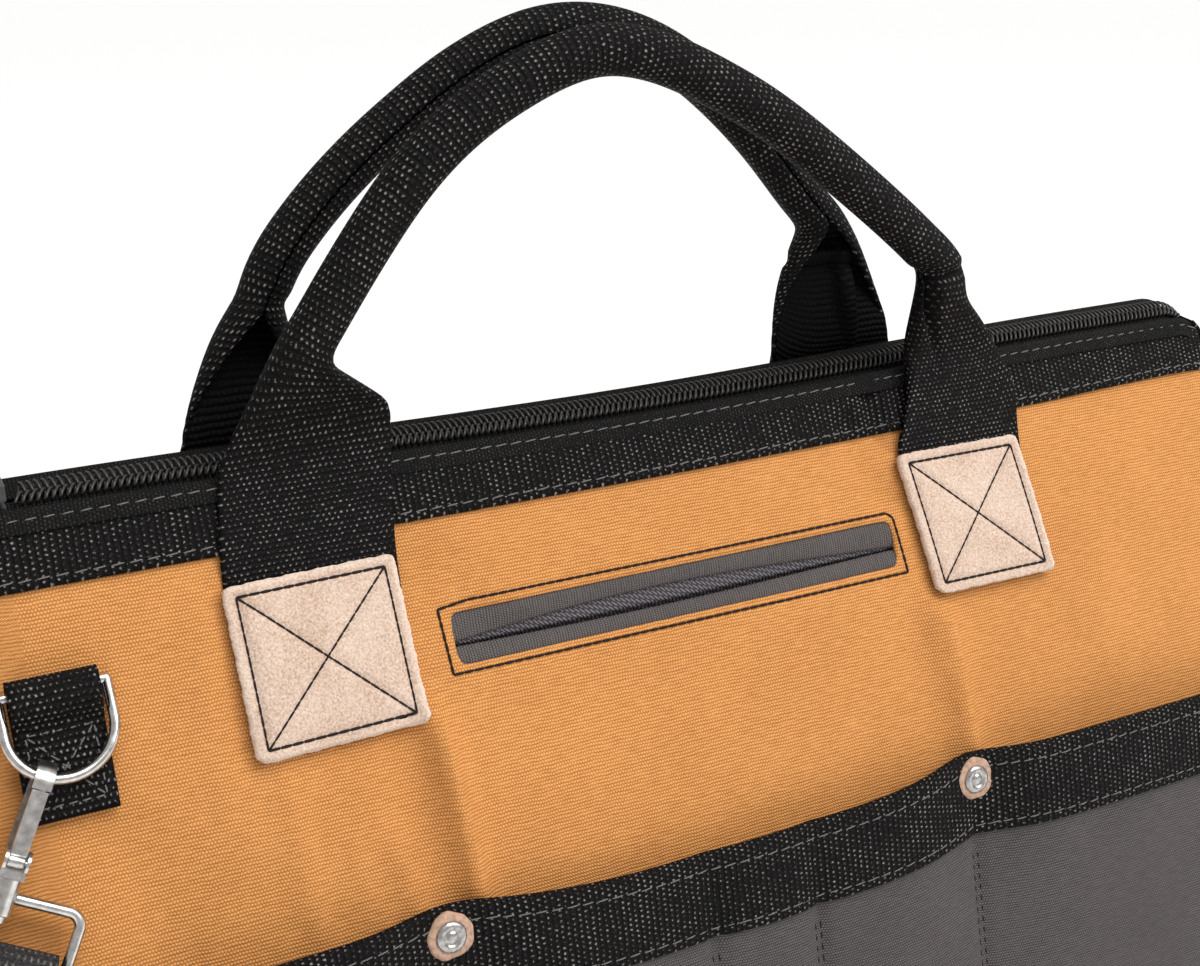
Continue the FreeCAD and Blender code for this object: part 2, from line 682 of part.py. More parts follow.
# Slider and pull tab
def slider():
    """Two plates round the chain, joined by the post that parts the teeth, with lugs for the pull tab."""
    length = size("slider_length")
    wall = size("slider_wall")
    gap = size("slider_clearance")
    left = slider_place - slider_half
    half_inner = size("chain_outer") + gap
    half_outer = half_inner + size("slider_flange")
    chain_top = tape_top + size("tooth_height")
    body = Part.makeBox(length, 2 * half_outer, wall, FreeCAD.Vector(left, -half_outer, chain_top + gap))
    for low in (-half_outer, half_inner):
        corner = FreeCAD.Vector(left, low, tape_top + gap)
        body = body.fuse(Part.makeBox(length, size("slider_flange"), size("tooth_height"), corner))
    floor_half = size("top_depth") / 2 - size("panel_wall") - gap
    floor_top = size("bag_height") - gap
    floor_corner = FreeCAD.Vector(left, -floor_half, floor_top - wall)
    body = body.fuse(Part.makeBox(length, 2 * floor_half, wall, floor_corner))
    post_height = chain_top + gap - floor_top
    post_corner = FreeCAD.Vector(left, -size("slider_post_width") / 2, floor_top)
    post = Part.makeBox(size("slider_post_length"), size("slider_post_width"), post_height, post_corner)
    body = body.fuse(post)
    roof_top = chain_top + gap + wall
    lug_inner = size("pull_width") / 2 + size("pull_gap")
    pin_height = roof_top + size("lug_height") / 2
    for low in (-lug_inner - size("lug_wall"), lug_inner):
        corner = FreeCAD.Vector(slider_place - size("lug_length") / 2, low, roof_top)
        body = body.fuse(Part.makeBox(size("lug_length"), size("lug_wall"), size("lug_height"), corner))
    bore = size("pull_pin_radius") + size("pin_clearance")
    reach = lug_inner + size("lug_wall")
    body = body.cut(cylinder(bore, 2 * reach, (slider_place, -reach, pin_height), (0, 1, 0)))
    feature_piece("zipper_slider", body)
    return pin_height, reach


def pull_tab(pin_height, reach):
    """A tapered tab with a barrel and a pin in the slider's lugs, lying towards the bag's end."""
    half = size("pull_width") / 2
    barrel = size("pull_wall")
    pin = cylinder(size("pull_pin_radius"), 2 * reach, (slider_place, -reach, pin_height), (0, 1, 0))
    body = pin.fuse(cylinder(barrel, 2 * half, (slider_place, -half, pin_height), (0, 1, 0)))
    wide = size("pull_blade_width") / 2
    length = size("pull_length")
    neck = math.hypot(size("lug_length") / 2, size("lug_height") / 2) + size("pull_gap")
    corners = [(0, -half), (-neck, -half), (-neck - half, -wide), (-length, -wide),
               (-length, wide), (-neck - half, wide), (-neck, half), (0, half)]
    low = pin_height - barrel / 2
    points = [FreeCAD.Vector(slider_place + across, deep, low) for across, deep in corners]
    blade = Part.Face(Part.makePolygon(points + points[:1])).extrude(FreeCAD.Vector(0, 0, barrel))
    feature_piece("zipper_pull_tab", body.fuse(blade))


pull_tab(*slider())

# Hardware frame on the front wall: x along the bag, y out of the wall, z down the wall, from the ring's bar
upper_run = (size("bend_depth") - size("top_depth")) / 2
upper_lean = math.atan2(upper_run, size("bag_height") - size("bend_height"))
WALL_OUT = FreeCAD.Vector(0, -math.cos(upper_lean), math.sin(upper_lean))
WALL_DOWN = FreeCAD.Vector(0, -math.sin(upper_lean), -math.cos(upper_lean))
WALL_TOP = FreeCAD.Vector(0, -size("top_depth") / 2, size("bag_height"))
bar_standoff = size("ring_wire") + size("tab_clearance") + size("tab_wall")
bar_point = WALL_TOP + WALL_DOWN * size("ring_drop") + WALL_OUT * bar_standoff
patch_edge = size("front_web_left") + size("patch_width") / 2
bar_point.x = -(patch_edge + half_length) / 2 - size("ring_past_middle")
WALL_TURN = FreeCAD.Rotation(FreeCAD.Vector(1, 0, 0), WALL_OUT, WALL_DOWN, "XYZ")
bar_frame = FreeCAD.Placement(bar_point, WALL_TURN)
hook_turn = math.radians(size("hook_tilt"))
hook_spot = FreeCAD.Vector(
    -size("ring_half_width") * math.sin(hook_turn), 0,
    size("ring_side") + size("ring_half_width") * math.cos(hook_turn))
stem_start = size("hook_inner_length") + size("hook_limb")
boss_start = stem_start + size("gate_clearance")
boss_length = size("hook_stem_length") - 2 * size("gate_clearance")
loop_top = boss_start + boss_length / 2
loop_bottom = loop_top + size("loop_drop")


def ring_lean():
    """The ring's tilt off the wall: as set, or enough to clear the pocket band if the loop reaches it."""
    hang = hook_spot.z + (loop_bottom + size("loop_wire")) * math.cos(hook_turn)
    hang += (size("loop_half_width") + size("loop_wire")) * math.sin(hook_turn)
    upper_length = math.hypot(upper_run, size("bag_height") - size("bend_height"))
    if size("ring_drop") + hang < upper_length:
        return size("ring_tilt")
    band_out = (size("pocket_gape") + size("pocket_wall") + size("band_wall")) * math.cos(upper_lean)
    rise = band_out + size("loop_wire") + size("tab_clearance") - bar_standoff
    return max(size("ring_tilt"), math.degrees(math.asin(rise / hook_spot.z)))


TILT = FreeCAD.Rotation(FreeCAD.Vector(1, 0, 0), -ring_lean())
ring_frame = bar_frame.multiply(FreeCAD.Placement(FreeCAD.Vector(0, 0, 0), TILT))
hook_base = ring_frame.multVec(hook_spot)
hook_frame = FreeCAD.Placement(
    hook_base, WALL_TURN.multiply(FreeCAD.Rotation(FreeCAD.Vector(0, 1, 0), -size("hook_tilt"))))


def ring_tab():
    """Webbing rolled round the ring's bar, its tail sewn flat on the wall."""
    inner = size("ring_wire") + size("tab_clearance")
    outer = inner + size("tab_wall")
    half = size("tab_width") / 2
    roll = cylinder(outer, 2 * half, (-half, 0, 0), (1, 0, 0))
    tail = Part.makeBox(2 * half, size("tab_wall"), size("tab_tail"), FreeCAD.Vector(-half, -bar_standoff, 0))
    bore = cylinder(inner, 2 * half, (-half, 0, 0), (1, 0, 0))
    return roll.fuse(tail).cut(bore)


def d_ring():
    """Round wire bent to a D: straight bar, two sides and a half circle."""
    wire = size("ring_wire")
    half = size("ring_half_width")
    side_length = size("ring_side")
    shape = cylinder(wire, 2 * half, (-half, 0, 0), (1, 0, 0))
    for place in (-half, half):
        shape = shape.fuse(cylinder(wire, side_length, (place, 0, 0)))
        shape = shape.fuse(Part.makeSphere(wire, FreeCAD.Vector(place, 0, 0)))
    flat = FreeCAD.Vector(0, 0, 1)
    bow = Part.makeTorus(half, wire, FreeCAD.Vector(0, 0, 0), flat, 0, 360, 180)
    upright = FreeCAD.Rotation(FreeCAD.Vector(1, 0, 0), 90)
    bow.Placement = FreeCAD.Placement(FreeCAD.Vector(0, 0, side_length), upright)
    return shape.fuse(bow)


hook_outer = size("hook_inner_half") + size("hook_limb")
gate_foot = size("hook_inner_length") - size("gate_barrel")
gate_line = hook_outer - size("gate_wall") / 2


def rounded_slot(half, low, high, wall):
    """A plate in the YZ plane with a half circle at its upper end, thick along X."""
    plate = Part.makeBox(wall, 2 * half, high - low - half, FreeCAD.Vector(-wall / 2, -half, low + half))
    return plate.fuse(cylinder(half, wall, (-wall / 2, 0, low + half), (1, 0, 0)))


def snap_hook():
    """A flat hook round the ring's wire: long eye, gap for the gate, cheeks for its pin, swivel stem."""
    wall = size("hook_wall")
    crown = -size("hook_crown")
    inner_half = size("hook_inner_half")
    frame = rounded_slot(hook_outer, crown - size("hook_limb"), stem_start, wall)
    eye = rounded_slot(inner_half, crown, size("hook_inner_length"), wall)
    frame = frame.cut(eye)
    gap_low = size("gate_nose")
    gap_high = gate_foot + size("gate_barrel") + size("gate_clearance")
    mouth = Part.makeBox(wall, size("hook_limb") + size("gate_clearance"), gap_high - gap_low,
                         FreeCAD.Vector(-wall / 2, inner_half - size("gate_clearance"), gap_low))
    frame = frame.cut(mouth)
    cheek = size("cheek_wall")
    cheek_radius = size("gate_barrel") + size("cheek_rim")
    for low in (-wall / 2 - cheek, wall / 2):
        frame = frame.fuse(cylinder(cheek_radius, cheek, (low, gate_line, gate_foot), (1, 0, 0)))
        foot = Part.makeBox(cheek, 2 * size("gate_wall"), stem_start - gate_foot,
                            FreeCAD.Vector(low, gate_line - size("gate_wall"), gate_foot))
        frame = frame.fuse(foot)
    pin_reach = wall / 2 + cheek
    pin = cylinder(size("gate_pin"), 2 * pin_reach, (-pin_reach, gate_line, gate_foot), (1, 0, 0))
    frame = frame.fuse(pin)
    frame = frame.fuse(cylinder(size("hook_stem_radius"), size("hook_stem_length"), (0, 0, stem_start)))
    head = cylinder(size("hook_head_radius"), size("hook_head_length"),
                    (0, 0, stem_start + size("hook_stem_length")))
    return frame.fuse(head)


def hook_gate():
    """The sprung bar that closes the hook, with a barrel on the pin."""
    wall = size("hook_wall") - 2 * size("gate_clearance")
    gate = size("gate_wall")
    low = size("gate_nose") + size("gate_clearance")
    bar = Part.makeBox(wall, gate, gate_foot - low, FreeCAD.Vector(-wall / 2, gate_line - gate / 2, low))
    bar = bar.fuse(cylinder(size("gate_barrel"), wall, (-wall / 2, gate_line, gate_foot), (1, 0, 0)))
    bore = size("gate_pin") + size("pin_clearance")
    return bar.cut(cylinder(bore, wall, (-wall / 2, gate_line, gate_foot), (1, 0, 0)))


def wire_corner(across, height, turn):
    """A quarter bend of the loop's wire about a middle point, turned about Y from the lower right corner."""
    flat = FreeCAD.Vector(0, 0, 1)
    bend = Part.makeTorus(size("loop_corner"), size("loop_wire"), FreeCAD.Vector(0, 0, 0), flat, 0, 360, 90)
    upright = FreeCAD.Rotation(FreeCAD.Vector(1, 0, 0), 90)
    turned = FreeCAD.Rotation(FreeCAD.Vector(0, 1, 0), turn).multiply(upright)
    bend.Placement = FreeCAD.Placement(FreeCAD.Vector(across, 0, height), turned)
    return bend


def strap_loop():
    """A rectangular wire loop with round corners and a bored boss that turns on the hook's stem."""
    wire = size("loop_wire")
    half = size("loop_half_width")
    reach = half - size("loop_corner")
    high = loop_top + size("loop_corner")
    low = loop_bottom - size("loop_corner")
    shape = cylinder(size("boss_radius"), boss_length, (0, 0, boss_start))
    for height in (loop_top, loop_bottom):
        shape = shape.fuse(cylinder(wire, 2 * reach, (-reach, 0, height), (1, 0, 0)))
    for place in (-half, half):
        shape = shape.fuse(cylinder(wire, low - high, (place, 0, high)))
    for across, height, turn in ((reach, low, 0), (-reach, low, -90), (-reach, high, 180), (reach, high, 90)):
        shape = shape.fuse(wire_corner(across, height, turn))
    bore = size("hook_stem_radius") + size("pin_clearance")
    return shape.cut(cylinder(bore, boss_length, (0, 0, boss_start)))


for side, turn in SIDES.items():
    feature_piece(side + "_ring_tab", ring_tab(), turn.multiply(bar_frame))
    feature_piece(side + "_d_ring", d_ring(), turn.multiply(ring_frame))
    feature_piece(side + "_snap_hook", snap_hook(), turn.multiply(hook_frame))
    feature_piece(side + "_hook_gate", hook_gate(), turn.multiply(hook_frame))
    feature_piece(side + "_strap_loop", strap_loop(), turn.multiply(hook_frame))

# Shoulder strap: from the front loop round the left end, along the floor behind the bag, up to the back loop
fold_radius = size("loop_wire") + size("tab_clearance")
strap_start = hook_frame.multVec(FreeCAD.Vector(0, 0, loop_bottom))
strap_across = hook_frame.Rotation.multVec(FreeCAD.Vector(1, 0, 0))
strap_down = hook_frame.Rotation.multVec(FreeCAD.Vector(0, 0, 1))
strap_out = hook_frame.Rotation.multVec(FreeCAD.Vector(0, 1, 0))
ON_EDGE = FreeCAD.Vector(0, 0, -1)
floor_line = size("strap_width") / 2 + size("strap_lift")


def ribbon_ring(place, forward, across):
    """A rectangle across the strap: its width along across, its wall square to that and to the route."""
    across = across - forward * across.dot(forward)
    across.normalize()
    thick = forward.cross(across) * (size("strap_wall") / 2)
    wide = across * (size("strap_width") / 2)
    points = [place + wide + thick, place + wide - thick, place - wide - thick, place - wide + thick]
    return Part.makePolygon(points + points[:1])


def strap_route():
    """Places on the strap's middle line, each with its width axis, chosen by hand."""
    begin = strap_start + strap_down * (fold_radius + size("strap_wall") / 2)
    clear = strap_start + strap_down * size("strap_hang") + strap_out * size("strap_stand_off")
    lean = (strap_across + ON_EDGE).normalize()
    way = [
        (begin, strap_across),
        (clear, strap_across),
        (FreeCAD.Vector(-270, -92, 132), lean),
        (FreeCAD.Vector(-288, -62, 104), ON_EDGE),
        (FreeCAD.Vector(-292, -14, 74), ON_EDGE),
        (FreeCAD.Vector(-286, 42, 46), ON_EDGE),
        (FreeCAD.Vector(-264, 96, 27), ON_EDGE),
        (FreeCAD.Vector(-216, 136, floor_line), ON_EDGE),
        (FreeCAD.Vector(-120, 154, floor_line), ON_EDGE),
        (FreeCAD.Vector(20, 159, floor_line), ON_EDGE),
        (FreeCAD.Vector(140, 160, floor_line + size("strap_lift")), ON_EDGE),
        (FreeCAD.Vector(220, 154, 40), ON_EDGE),
        (FreeCAD.Vector(268, 128, 82), ON_EDGE),
    ]
    tail = [(HALF_TURN.multVec(place), HALF_TURN.multVec(axis)) for place, axis in way[:3]]
    return way + tail[::-1]


def shoulder_strap():
    """A ruled loft of flat webbing along the route, with a sewn fold round each loop's bar."""
    route = strap_route()
    wires = []
    length = 0.0
    for index, (place, across) in enumerate(route):
        before = route[max(index - 1, 0)][0]
        after = route[min(index + 1, len(route) - 1)][0]
        forward = (after - before).normalize()
        if index == 0:
            forward = FreeCAD.Vector(strap_down)
        elif index == len(route) - 1:
            forward = HALF_TURN.multVec(strap_down) * -1
        wires.append(ribbon_ring(place, forward, FreeCAD.Vector(across)))
        length += (place - before).Length
    strap = Part.makeLoft(wires, True, True)
    half = size("strap_width") / 2
    roll = cylinder(fold_radius + size("strap_wall"), 2 * half, (-half, 0, loop_bottom), (1, 0, 0))
    bore = cylinder(fold_radius, 2 * half, (-half, 0, loop_bottom), (1, 0, 0))
    for turn in SIDES.values():
        frame = turn.multiply(hook_frame)
        sleeve = roll.cut(bore)
        sleeve.Placement = frame
        strap = strap.fuse(sleeve)
        hole = bore.removeSplitter()
        hole.Placement = frame
        strap = strap.cut(hole)
    feature_piece("shoulder_strap", strap)
    print("shoulder strap: %.0f mm along its middle line" % length)


shoulder_strap()

# Check every object, then write one file for each piece
doc.recompute()
for obj in doc.Objects:
    if "Invalid" in obj.State or "Error" in obj.State:
        raise RuntimeError("%s did not compute: %s" % (obj.Label, obj.State))
for obj in nodes:
    if obj.Shape.isNull() or not obj.Shape.isValid() or not obj.Shape.Solids:
        raise RuntimeError("%s has no valid solid" % obj.Label)
os.makedirs("parts", exist_ok=True)
for obj in nodes:
    obj.Shape.exportStep(os.path.join("parts", obj.Label + ".step"))
    box = obj.Shape.BoundBox
    print("%-24s %d solid, volume %9.1f, x %.1f to %.1f, y %.1f to %.1f, z %.1f to %.1f" % (
        obj.Label, len(obj.Shape.Solids), obj.Shape.Volume,
        box.XMin, box.XMax, box.YMin, box.YMax, box.ZMin, box.ZMax))
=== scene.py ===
# %% [markdown]
# A zippered tool bag of tan canvas: black webbing bands and handles, suede patches, open grey pockets
# low on both long sides, and a shoulder strap on snap hooks. The solids of the bag are loaded first, so
# every cloth surface below can be placed from their real sizes.

import math

import bmesh
import bpy
import numpy as np
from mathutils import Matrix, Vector


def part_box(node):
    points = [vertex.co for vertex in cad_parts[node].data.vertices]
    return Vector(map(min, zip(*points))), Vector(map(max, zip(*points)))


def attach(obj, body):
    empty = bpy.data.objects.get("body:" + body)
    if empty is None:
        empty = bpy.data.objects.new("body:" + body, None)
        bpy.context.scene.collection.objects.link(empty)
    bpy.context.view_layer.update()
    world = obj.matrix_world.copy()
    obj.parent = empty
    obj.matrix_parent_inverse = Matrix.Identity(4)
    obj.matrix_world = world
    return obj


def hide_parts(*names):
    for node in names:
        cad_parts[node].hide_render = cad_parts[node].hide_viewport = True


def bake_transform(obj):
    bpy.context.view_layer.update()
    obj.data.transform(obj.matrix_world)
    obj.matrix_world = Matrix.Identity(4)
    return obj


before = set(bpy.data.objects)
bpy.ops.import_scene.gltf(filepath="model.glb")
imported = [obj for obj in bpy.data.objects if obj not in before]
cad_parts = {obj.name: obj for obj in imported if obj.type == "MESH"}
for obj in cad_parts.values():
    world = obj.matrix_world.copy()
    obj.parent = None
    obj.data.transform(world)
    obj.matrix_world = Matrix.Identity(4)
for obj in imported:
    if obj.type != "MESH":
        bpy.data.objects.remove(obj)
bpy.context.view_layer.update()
MM = 0.001
panel_low, panel_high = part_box("front_panel")
_, pocket_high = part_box("front_pocket")
end_low, end_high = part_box("left_end_panel")
HALF_LENGTH = panel_high.x
HEIGHT = panel_high.z
HALF_BASE = -panel_low.y
WALL = end_high.x - end_low.x
HALF_TOP = WALL - panel_high.y
HALF_BEND = -pocket_high.y
BEND_HEIGHT = pocket_high.z
UPPER = math.hypot(HALF_BEND - HALF_TOP, HEIGHT - BEND_HEIGHT)
LOWER = math.hypot(HALF_BASE - HALF_BEND, BEND_HEIGHT)
print("slanted wall, mm:", round(UPPER / MM, 1), "above the bend,", round(LOWER / MM, 1), "below it")

# %% [markdown]
# The camera stands where the photograph was taken from: close to the bag's left front corner and a
# little above it. Its place and turn were worked out from points whose real positions are known, such
# as the corners of the patches, so the bag runs out of the picture at the same places.

# %% Camera
CAMERA_PLACE = Vector((-247.3, -462.3, 452.9)) * MM
CAMERA_TURN = math.radians(-26.94)
CAMERA_RISE = math.radians(21.44)
SENSOR_WIDTH = 36
LENS = 50.97
NEAREST = 0.01
camera_data = bpy.data.cameras.new("camera")
camera_data.sensor_width = SENSOR_WIDTH
camera_data.lens = LENS
camera_data.clip_start = NEAREST
camera = bpy.data.objects.new("camera", camera_data)
bpy.context.collection.objects.link(camera)
backward = Vector((math.sin(CAMERA_TURN) * math.cos(CAMERA_RISE),
                   -math.cos(CAMERA_TURN) * math.cos(CAMERA_RISE), math.sin(CAMERA_RISE)))
camera.location = CAMERA_PLACE
camera.rotation_euler = backward.to_track_quat("Z", "Y").to_euler()
bpy.context.scene.camera = camera
print("camera looks along", [round(v, 3) for v in -backward])

# %% [markdown]
# Cloth is a grid of points: rows one way, columns the other. These helpers join a grid into quads, give
# it the thickness of a cloth with rounded edges, and put the arrays into a mesh. Thickness could come
# from a Solidify modifier too, but here the edges are rounded in the same step, as a woven edge is.

# %% Grids into meshes
def quad_corners(table, axis=-1):
    """The four corners of each cell of a table: an entry, its right neighbour, and the two below them."""
    return np.stack([table[:-1, :-1], table[:-1, 1:], table[1:, 1:], table[1:, :-1]], axis)


def grid_quads(rows, columns, wrap=False):
    """Corner numbers of each quad of a grid, which a wrapped one closes into a tube."""
    index = np.arange(rows * columns).reshape(rows, columns)
    if wrap:
        index = np.concatenate([index, index[:, :1]], axis=1)
    return quad_corners(index).reshape(-1, 4)


def grid_corners(uv):
    """The map position of each quad's four corners, from a grid of map positions."""
    return quad_corners(uv, 2).reshape(-1, 4, 2)


def unit(vectors):
    """Each vector divided by its length."""
    return vectors / np.maximum(np.linalg.norm(vectors, axis=-1, keepdims=True), 1e-12)


def stacked(*parts):
    """Arrays stretched over each other, as the last axis of one array: a grid of points or map positions."""
    return np.stack(np.broadcast_arrays(*parts), -1)


def running_length(path):
    """The distance travelled at each point of a path: the sum of the straight pieces before it."""
    return np.concatenate([[0], np.cumsum(np.linalg.norm(np.diff(path, axis=0), axis=1))])


def at_lengths(wanted, length, table):
    """The table's rows at the wanted lengths, each column in straight lines between its known rows."""
    return np.stack([np.interp(wanted, length, table[:, k]) for k in range(table.shape[1])], -1)


def end_faces(rows, sides):
    """The two faces that close a tube: the corner numbers of its first and last ring."""
    last = (rows - 1) * sides
    return [list(range(sides)), list(range(last, last + sides))]


def grid_normals(grid):
    """The direction square to a grid: its step down a column crossed with its step along a row."""
    return unit(np.cross(np.gradient(grid, axis=0), np.gradient(grid, axis=1)))


def cloth(grid, uv, wall, edge=0.45, back=None):
    """A grid with thickness: the grid, then a copy moved back by wall, with a rounded edge between."""
    back = grid - grid_normals(grid) * wall if back is None else back
    middle = (grid + back) / 2
    first = middle[:, :1] + unit(grid[:, :1] - grid[:, 1:2]) * wall * edge
    last = middle[:, -1:] + unit(grid[:, -1:] - grid[:, -2:-1]) * wall * edge
    ring = np.concatenate([grid, last, back[:, ::-1], first], axis=1)
    ring_uv = np.concatenate([uv, uv[:, -1:], uv[:, ::-1], uv[:, :1], uv[:, :1]], axis=1)
    rows, columns = grid.shape[:2]
    around = ring.shape[1]
    quads = grid_quads(rows, around, wrap=True)
    front = np.arange(columns)
    behind = 2 * columns - front
    caps = []
    for row in (0, rows - 1):
        strip = np.stack([front[:-1], front[1:], behind[1:], behind[:-1]], -1) + row * around
        sides = [[columns - 1, columns, columns + 1], [0, around - 1, behind[0]]]
        caps += strip.tolist() + [[int(c) + row * around for c in side] for side in sides]
    return ring.reshape(-1, 3), quads, grid_corners(ring_uv), caps


def tube(path, across, up, uv_along, sides):
    """A round bar: at each point of the path, a circle spanned by the two side vectors given there."""
    angle = np.linspace(0, 2 * np.pi, sides, endpoint=False)
    ring = (path[:, None] + across[:, None] * np.cos(angle)[None, :, None]
            + up[:, None] * np.sin(angle)[None, :, None])
    turn = np.linspace(0, 1, sides + 1) * 2 * np.pi * np.linalg.norm(across[0])
    uv = stacked(uv_along[:, None], turn[None, :])
    quads = grid_quads(len(path), sides, wrap=True)
    return ring.reshape(-1, 3), quads, grid_corners(uv), end_faces(len(path), sides)


def put_piece(name, parts, material, body=None, instead_of=()):
    """One mesh from several parts; each part is points, quads, the quads' map corners, and end faces."""
    points, faces, corners, smooth, start = [], [], [], [], 0
    for part_points, quads, quad_uv, caps in parts:
        points.append(part_points)
        faces += (quads + start).tolist() + [[c + start for c in cap] for cap in caps]
        corners.append(quad_uv.reshape(-1, 2))
        corners.append(np.zeros((sum(len(cap) for cap in caps), 2)))
        smooth.append(np.arange(len(quads) + len(caps)) < len(quads))
        start += len(part_points)
    mesh = bpy.data.meshes.new(name)
    mesh.from_pydata(np.concatenate(points).tolist(), [], faces)
    layer = mesh.uv_layers.new(name="cloth")
    layer.data.foreach_set("uv", np.concatenate(corners).astype(np.float32).ravel())
    shell = bmesh.new()
    shell.from_mesh(mesh)
    bmesh.ops.recalc_face_normals(shell, faces=shell.faces)
    shell.to_mesh(mesh)
    shell.free()
    mesh.polygons.foreach_set("use_smooth", np.concatenate(smooth))
    mesh.materials.append(material)
    piece = bpy.data.objects.new(name, mesh)
    bpy.context.collection.objects.link(piece)
    if body:
        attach(piece, body)
    if instead_of:
        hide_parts(*instead_of)
    print(name, len(mesh.polygons), "faces")
    return piece


# %% [markdown]
# Cloth looks like cloth because of its threads. Every woven material here works out its own threads from
# the piece's map, which is in metres along and across the cloth: rows of small rounded beads, each row
# shifted by half a bead. Their colour follows their height, so the raised threads carry painted highlight
# and the hollows between them painted shade. An image could hold the weave, but a formula stays sharp at
# any distance.

# %% Threads as shader nodes
DRIFT_SIZE, SLUB_SIZE, CANVAS_FIBRE, CANVAS_BLOTCH = 5 * MM, 1.1 * MM, 0.45 * MM, 26 * MM
WEB_FIBRE, WEB_PATCH, WEB_BUMP = 0.55 * MM, 11 * MM, 0.45 * MM
DASH_POWER = 3.0
CANVAS_ROUGH, WEB_ROUGH = 0.85, 0.7


def new_material(name):
    """A material with only its output and a principled shader, and the node tree to add to."""
    material = bpy.data.materials.new(name)
    material.use_nodes = True
    return material, material.node_tree, material.node_tree.nodes["Principled BSDF"]


def sums(tree, operation, first, second=0.0, third=0.0):
    """One Math node; each input is a number or another node's output."""
    node = tree.nodes.new("ShaderNodeMath")
    node.operation = operation
    for socket, value in zip(node.inputs, (first, second, third)):
        if isinstance(value, (int, float)):
            socket.default_value = value
        else:
            tree.links.new(value, socket)
    return node.outputs[0]


def cloth_axes(tree):
    """The map's two distances: along the cloth and across it."""
    place = tree.nodes.new("ShaderNodeTexCoord")
    split = tree.nodes.new("ShaderNodeSeparateXYZ")
    tree.links.new(place.outputs["UV"], split.inputs[0])
    return split.outputs["X"], split.outputs["Y"]


def clouds(tree, size, detail=3.0, stretch=(1, 1, 1), source="Object"):
    """Noise on the piece's own coordinates or its map, with blotches of about the given size in metres."""
    place = tree.nodes.new("ShaderNodeTexCoord")
    scale = tree.nodes.new("ShaderNodeMapping")
    scale.inputs["Scale"].default_value = stretch
    noise = tree.nodes.new("ShaderNodeTexNoise")
    noise.inputs["Scale"].default_value = 1 / size
    noise.inputs["Detail"].default_value = detail
    tree.links.new(place.outputs[source], scale.inputs[0])
    tree.links.new(scale.outputs[0], noise.inputs["Vector"])
    return noise.outputs["Fac"]


def arches(tree, value):
    """The sine without its sign: one arch from each whole number to the next."""
    return sums(tree, "ABSOLUTE", sums(tree, "SINE", sums(tree, "MULTIPLY", value, math.pi)))


def woven(tree, along, across, row, bead, depth):
    """Thread height: an arch over each row, dipped between beads, every second row half a bead on."""
    rows = sums(tree, "DIVIDE", across, row)
    arch = arches(tree, rows)
    odd = sums(tree, "FLOORED_MODULO", sums(tree, "FLOOR", rows), 2.0)
    beads = sums(tree, "MULTIPLY_ADD", odd, 0.5, sums(tree, "DIVIDE", along, bead))
    dip = arches(tree, beads)
    return sums(tree, "MULTIPLY", arch, sums(tree, "MULTIPLY_ADD", dip, depth, 1 - depth))


def tinted(tree, height, *stops):
    """A colour for each height, from stops of (height, colour)."""
    ramp = tree.nodes.new("ShaderNodeValToRGB")
    while len(ramp.color_ramp.elements) < len(stops):
        ramp.color_ramp.elements.new(0.5)
    for element, (place, colour) in zip(ramp.color_ramp.elements, stops):
        element.position = place
        element.color = (*colour, 1)
    tree.links.new(height, ramp.inputs[0])
    return ramp.outputs["Color"]


def raised(tree, shader, height, distance, strength=1.0):
    """A bump of the given real height on the shader."""
    bump = tree.nodes.new("ShaderNodeBump")
    bump.inputs["Distance"].default_value = distance
    bump.inputs["Strength"].default_value = strength
    tree.links.new(height, bump.inputs["Height"])
    tree.links.new(bump.outputs[0], shader.inputs["Normal"])


def plain_weave(name, row, bead, dark, light, bump, slub=0.5, specular=0.25):
    """Canvas: fine threads by formula under slubs, a yarn's long thick places, made of stretched noise."""
    material, tree, shader = new_material(name)
    along, across = cloth_axes(tree)
    drift = sums(tree, "MULTIPLY_ADD", clouds(tree, DRIFT_SIZE, 2.0), 0.9 * row, -0.45 * row)
    threads = woven(tree, along, sums(tree, "ADD", across, drift), row, bead, 0.85)
    slubs = clouds(tree, SLUB_SIZE, 3.0, (0.22, 1, 1), "UV")
    fibre = clouds(tree, CANVAS_FIBRE, 2.0)
    height = sums(tree, "MULTIPLY_ADD", slubs, slub, sums(tree, "MULTIPLY", threads, 1 - slub))
    fuzz = sums(tree, "MULTIPLY_ADD", fibre, 0.4, -0.3)
    shade = sums(tree, "MULTIPLY_ADD", clouds(tree, CANVAS_BLOTCH, 4.0), 0.2, fuzz)
    # brighter where threads and slubs stand high: painted highlight on their tops, painted shade between them
    tone = sums(tree, "ADD", height, shade)
    tree.links.new(tinted(tree, tone, (0.26, dark), (0.7, light)), shader.inputs["Base Color"])
    shader.inputs["Roughness"].default_value = CANVAS_ROUGH
    shader.inputs["Specular IOR Level"].default_value = specular
    raised(tree, shader, sums(tree, "MULTIPLY_ADD", fibre, 0.3, height), bump)
    return material


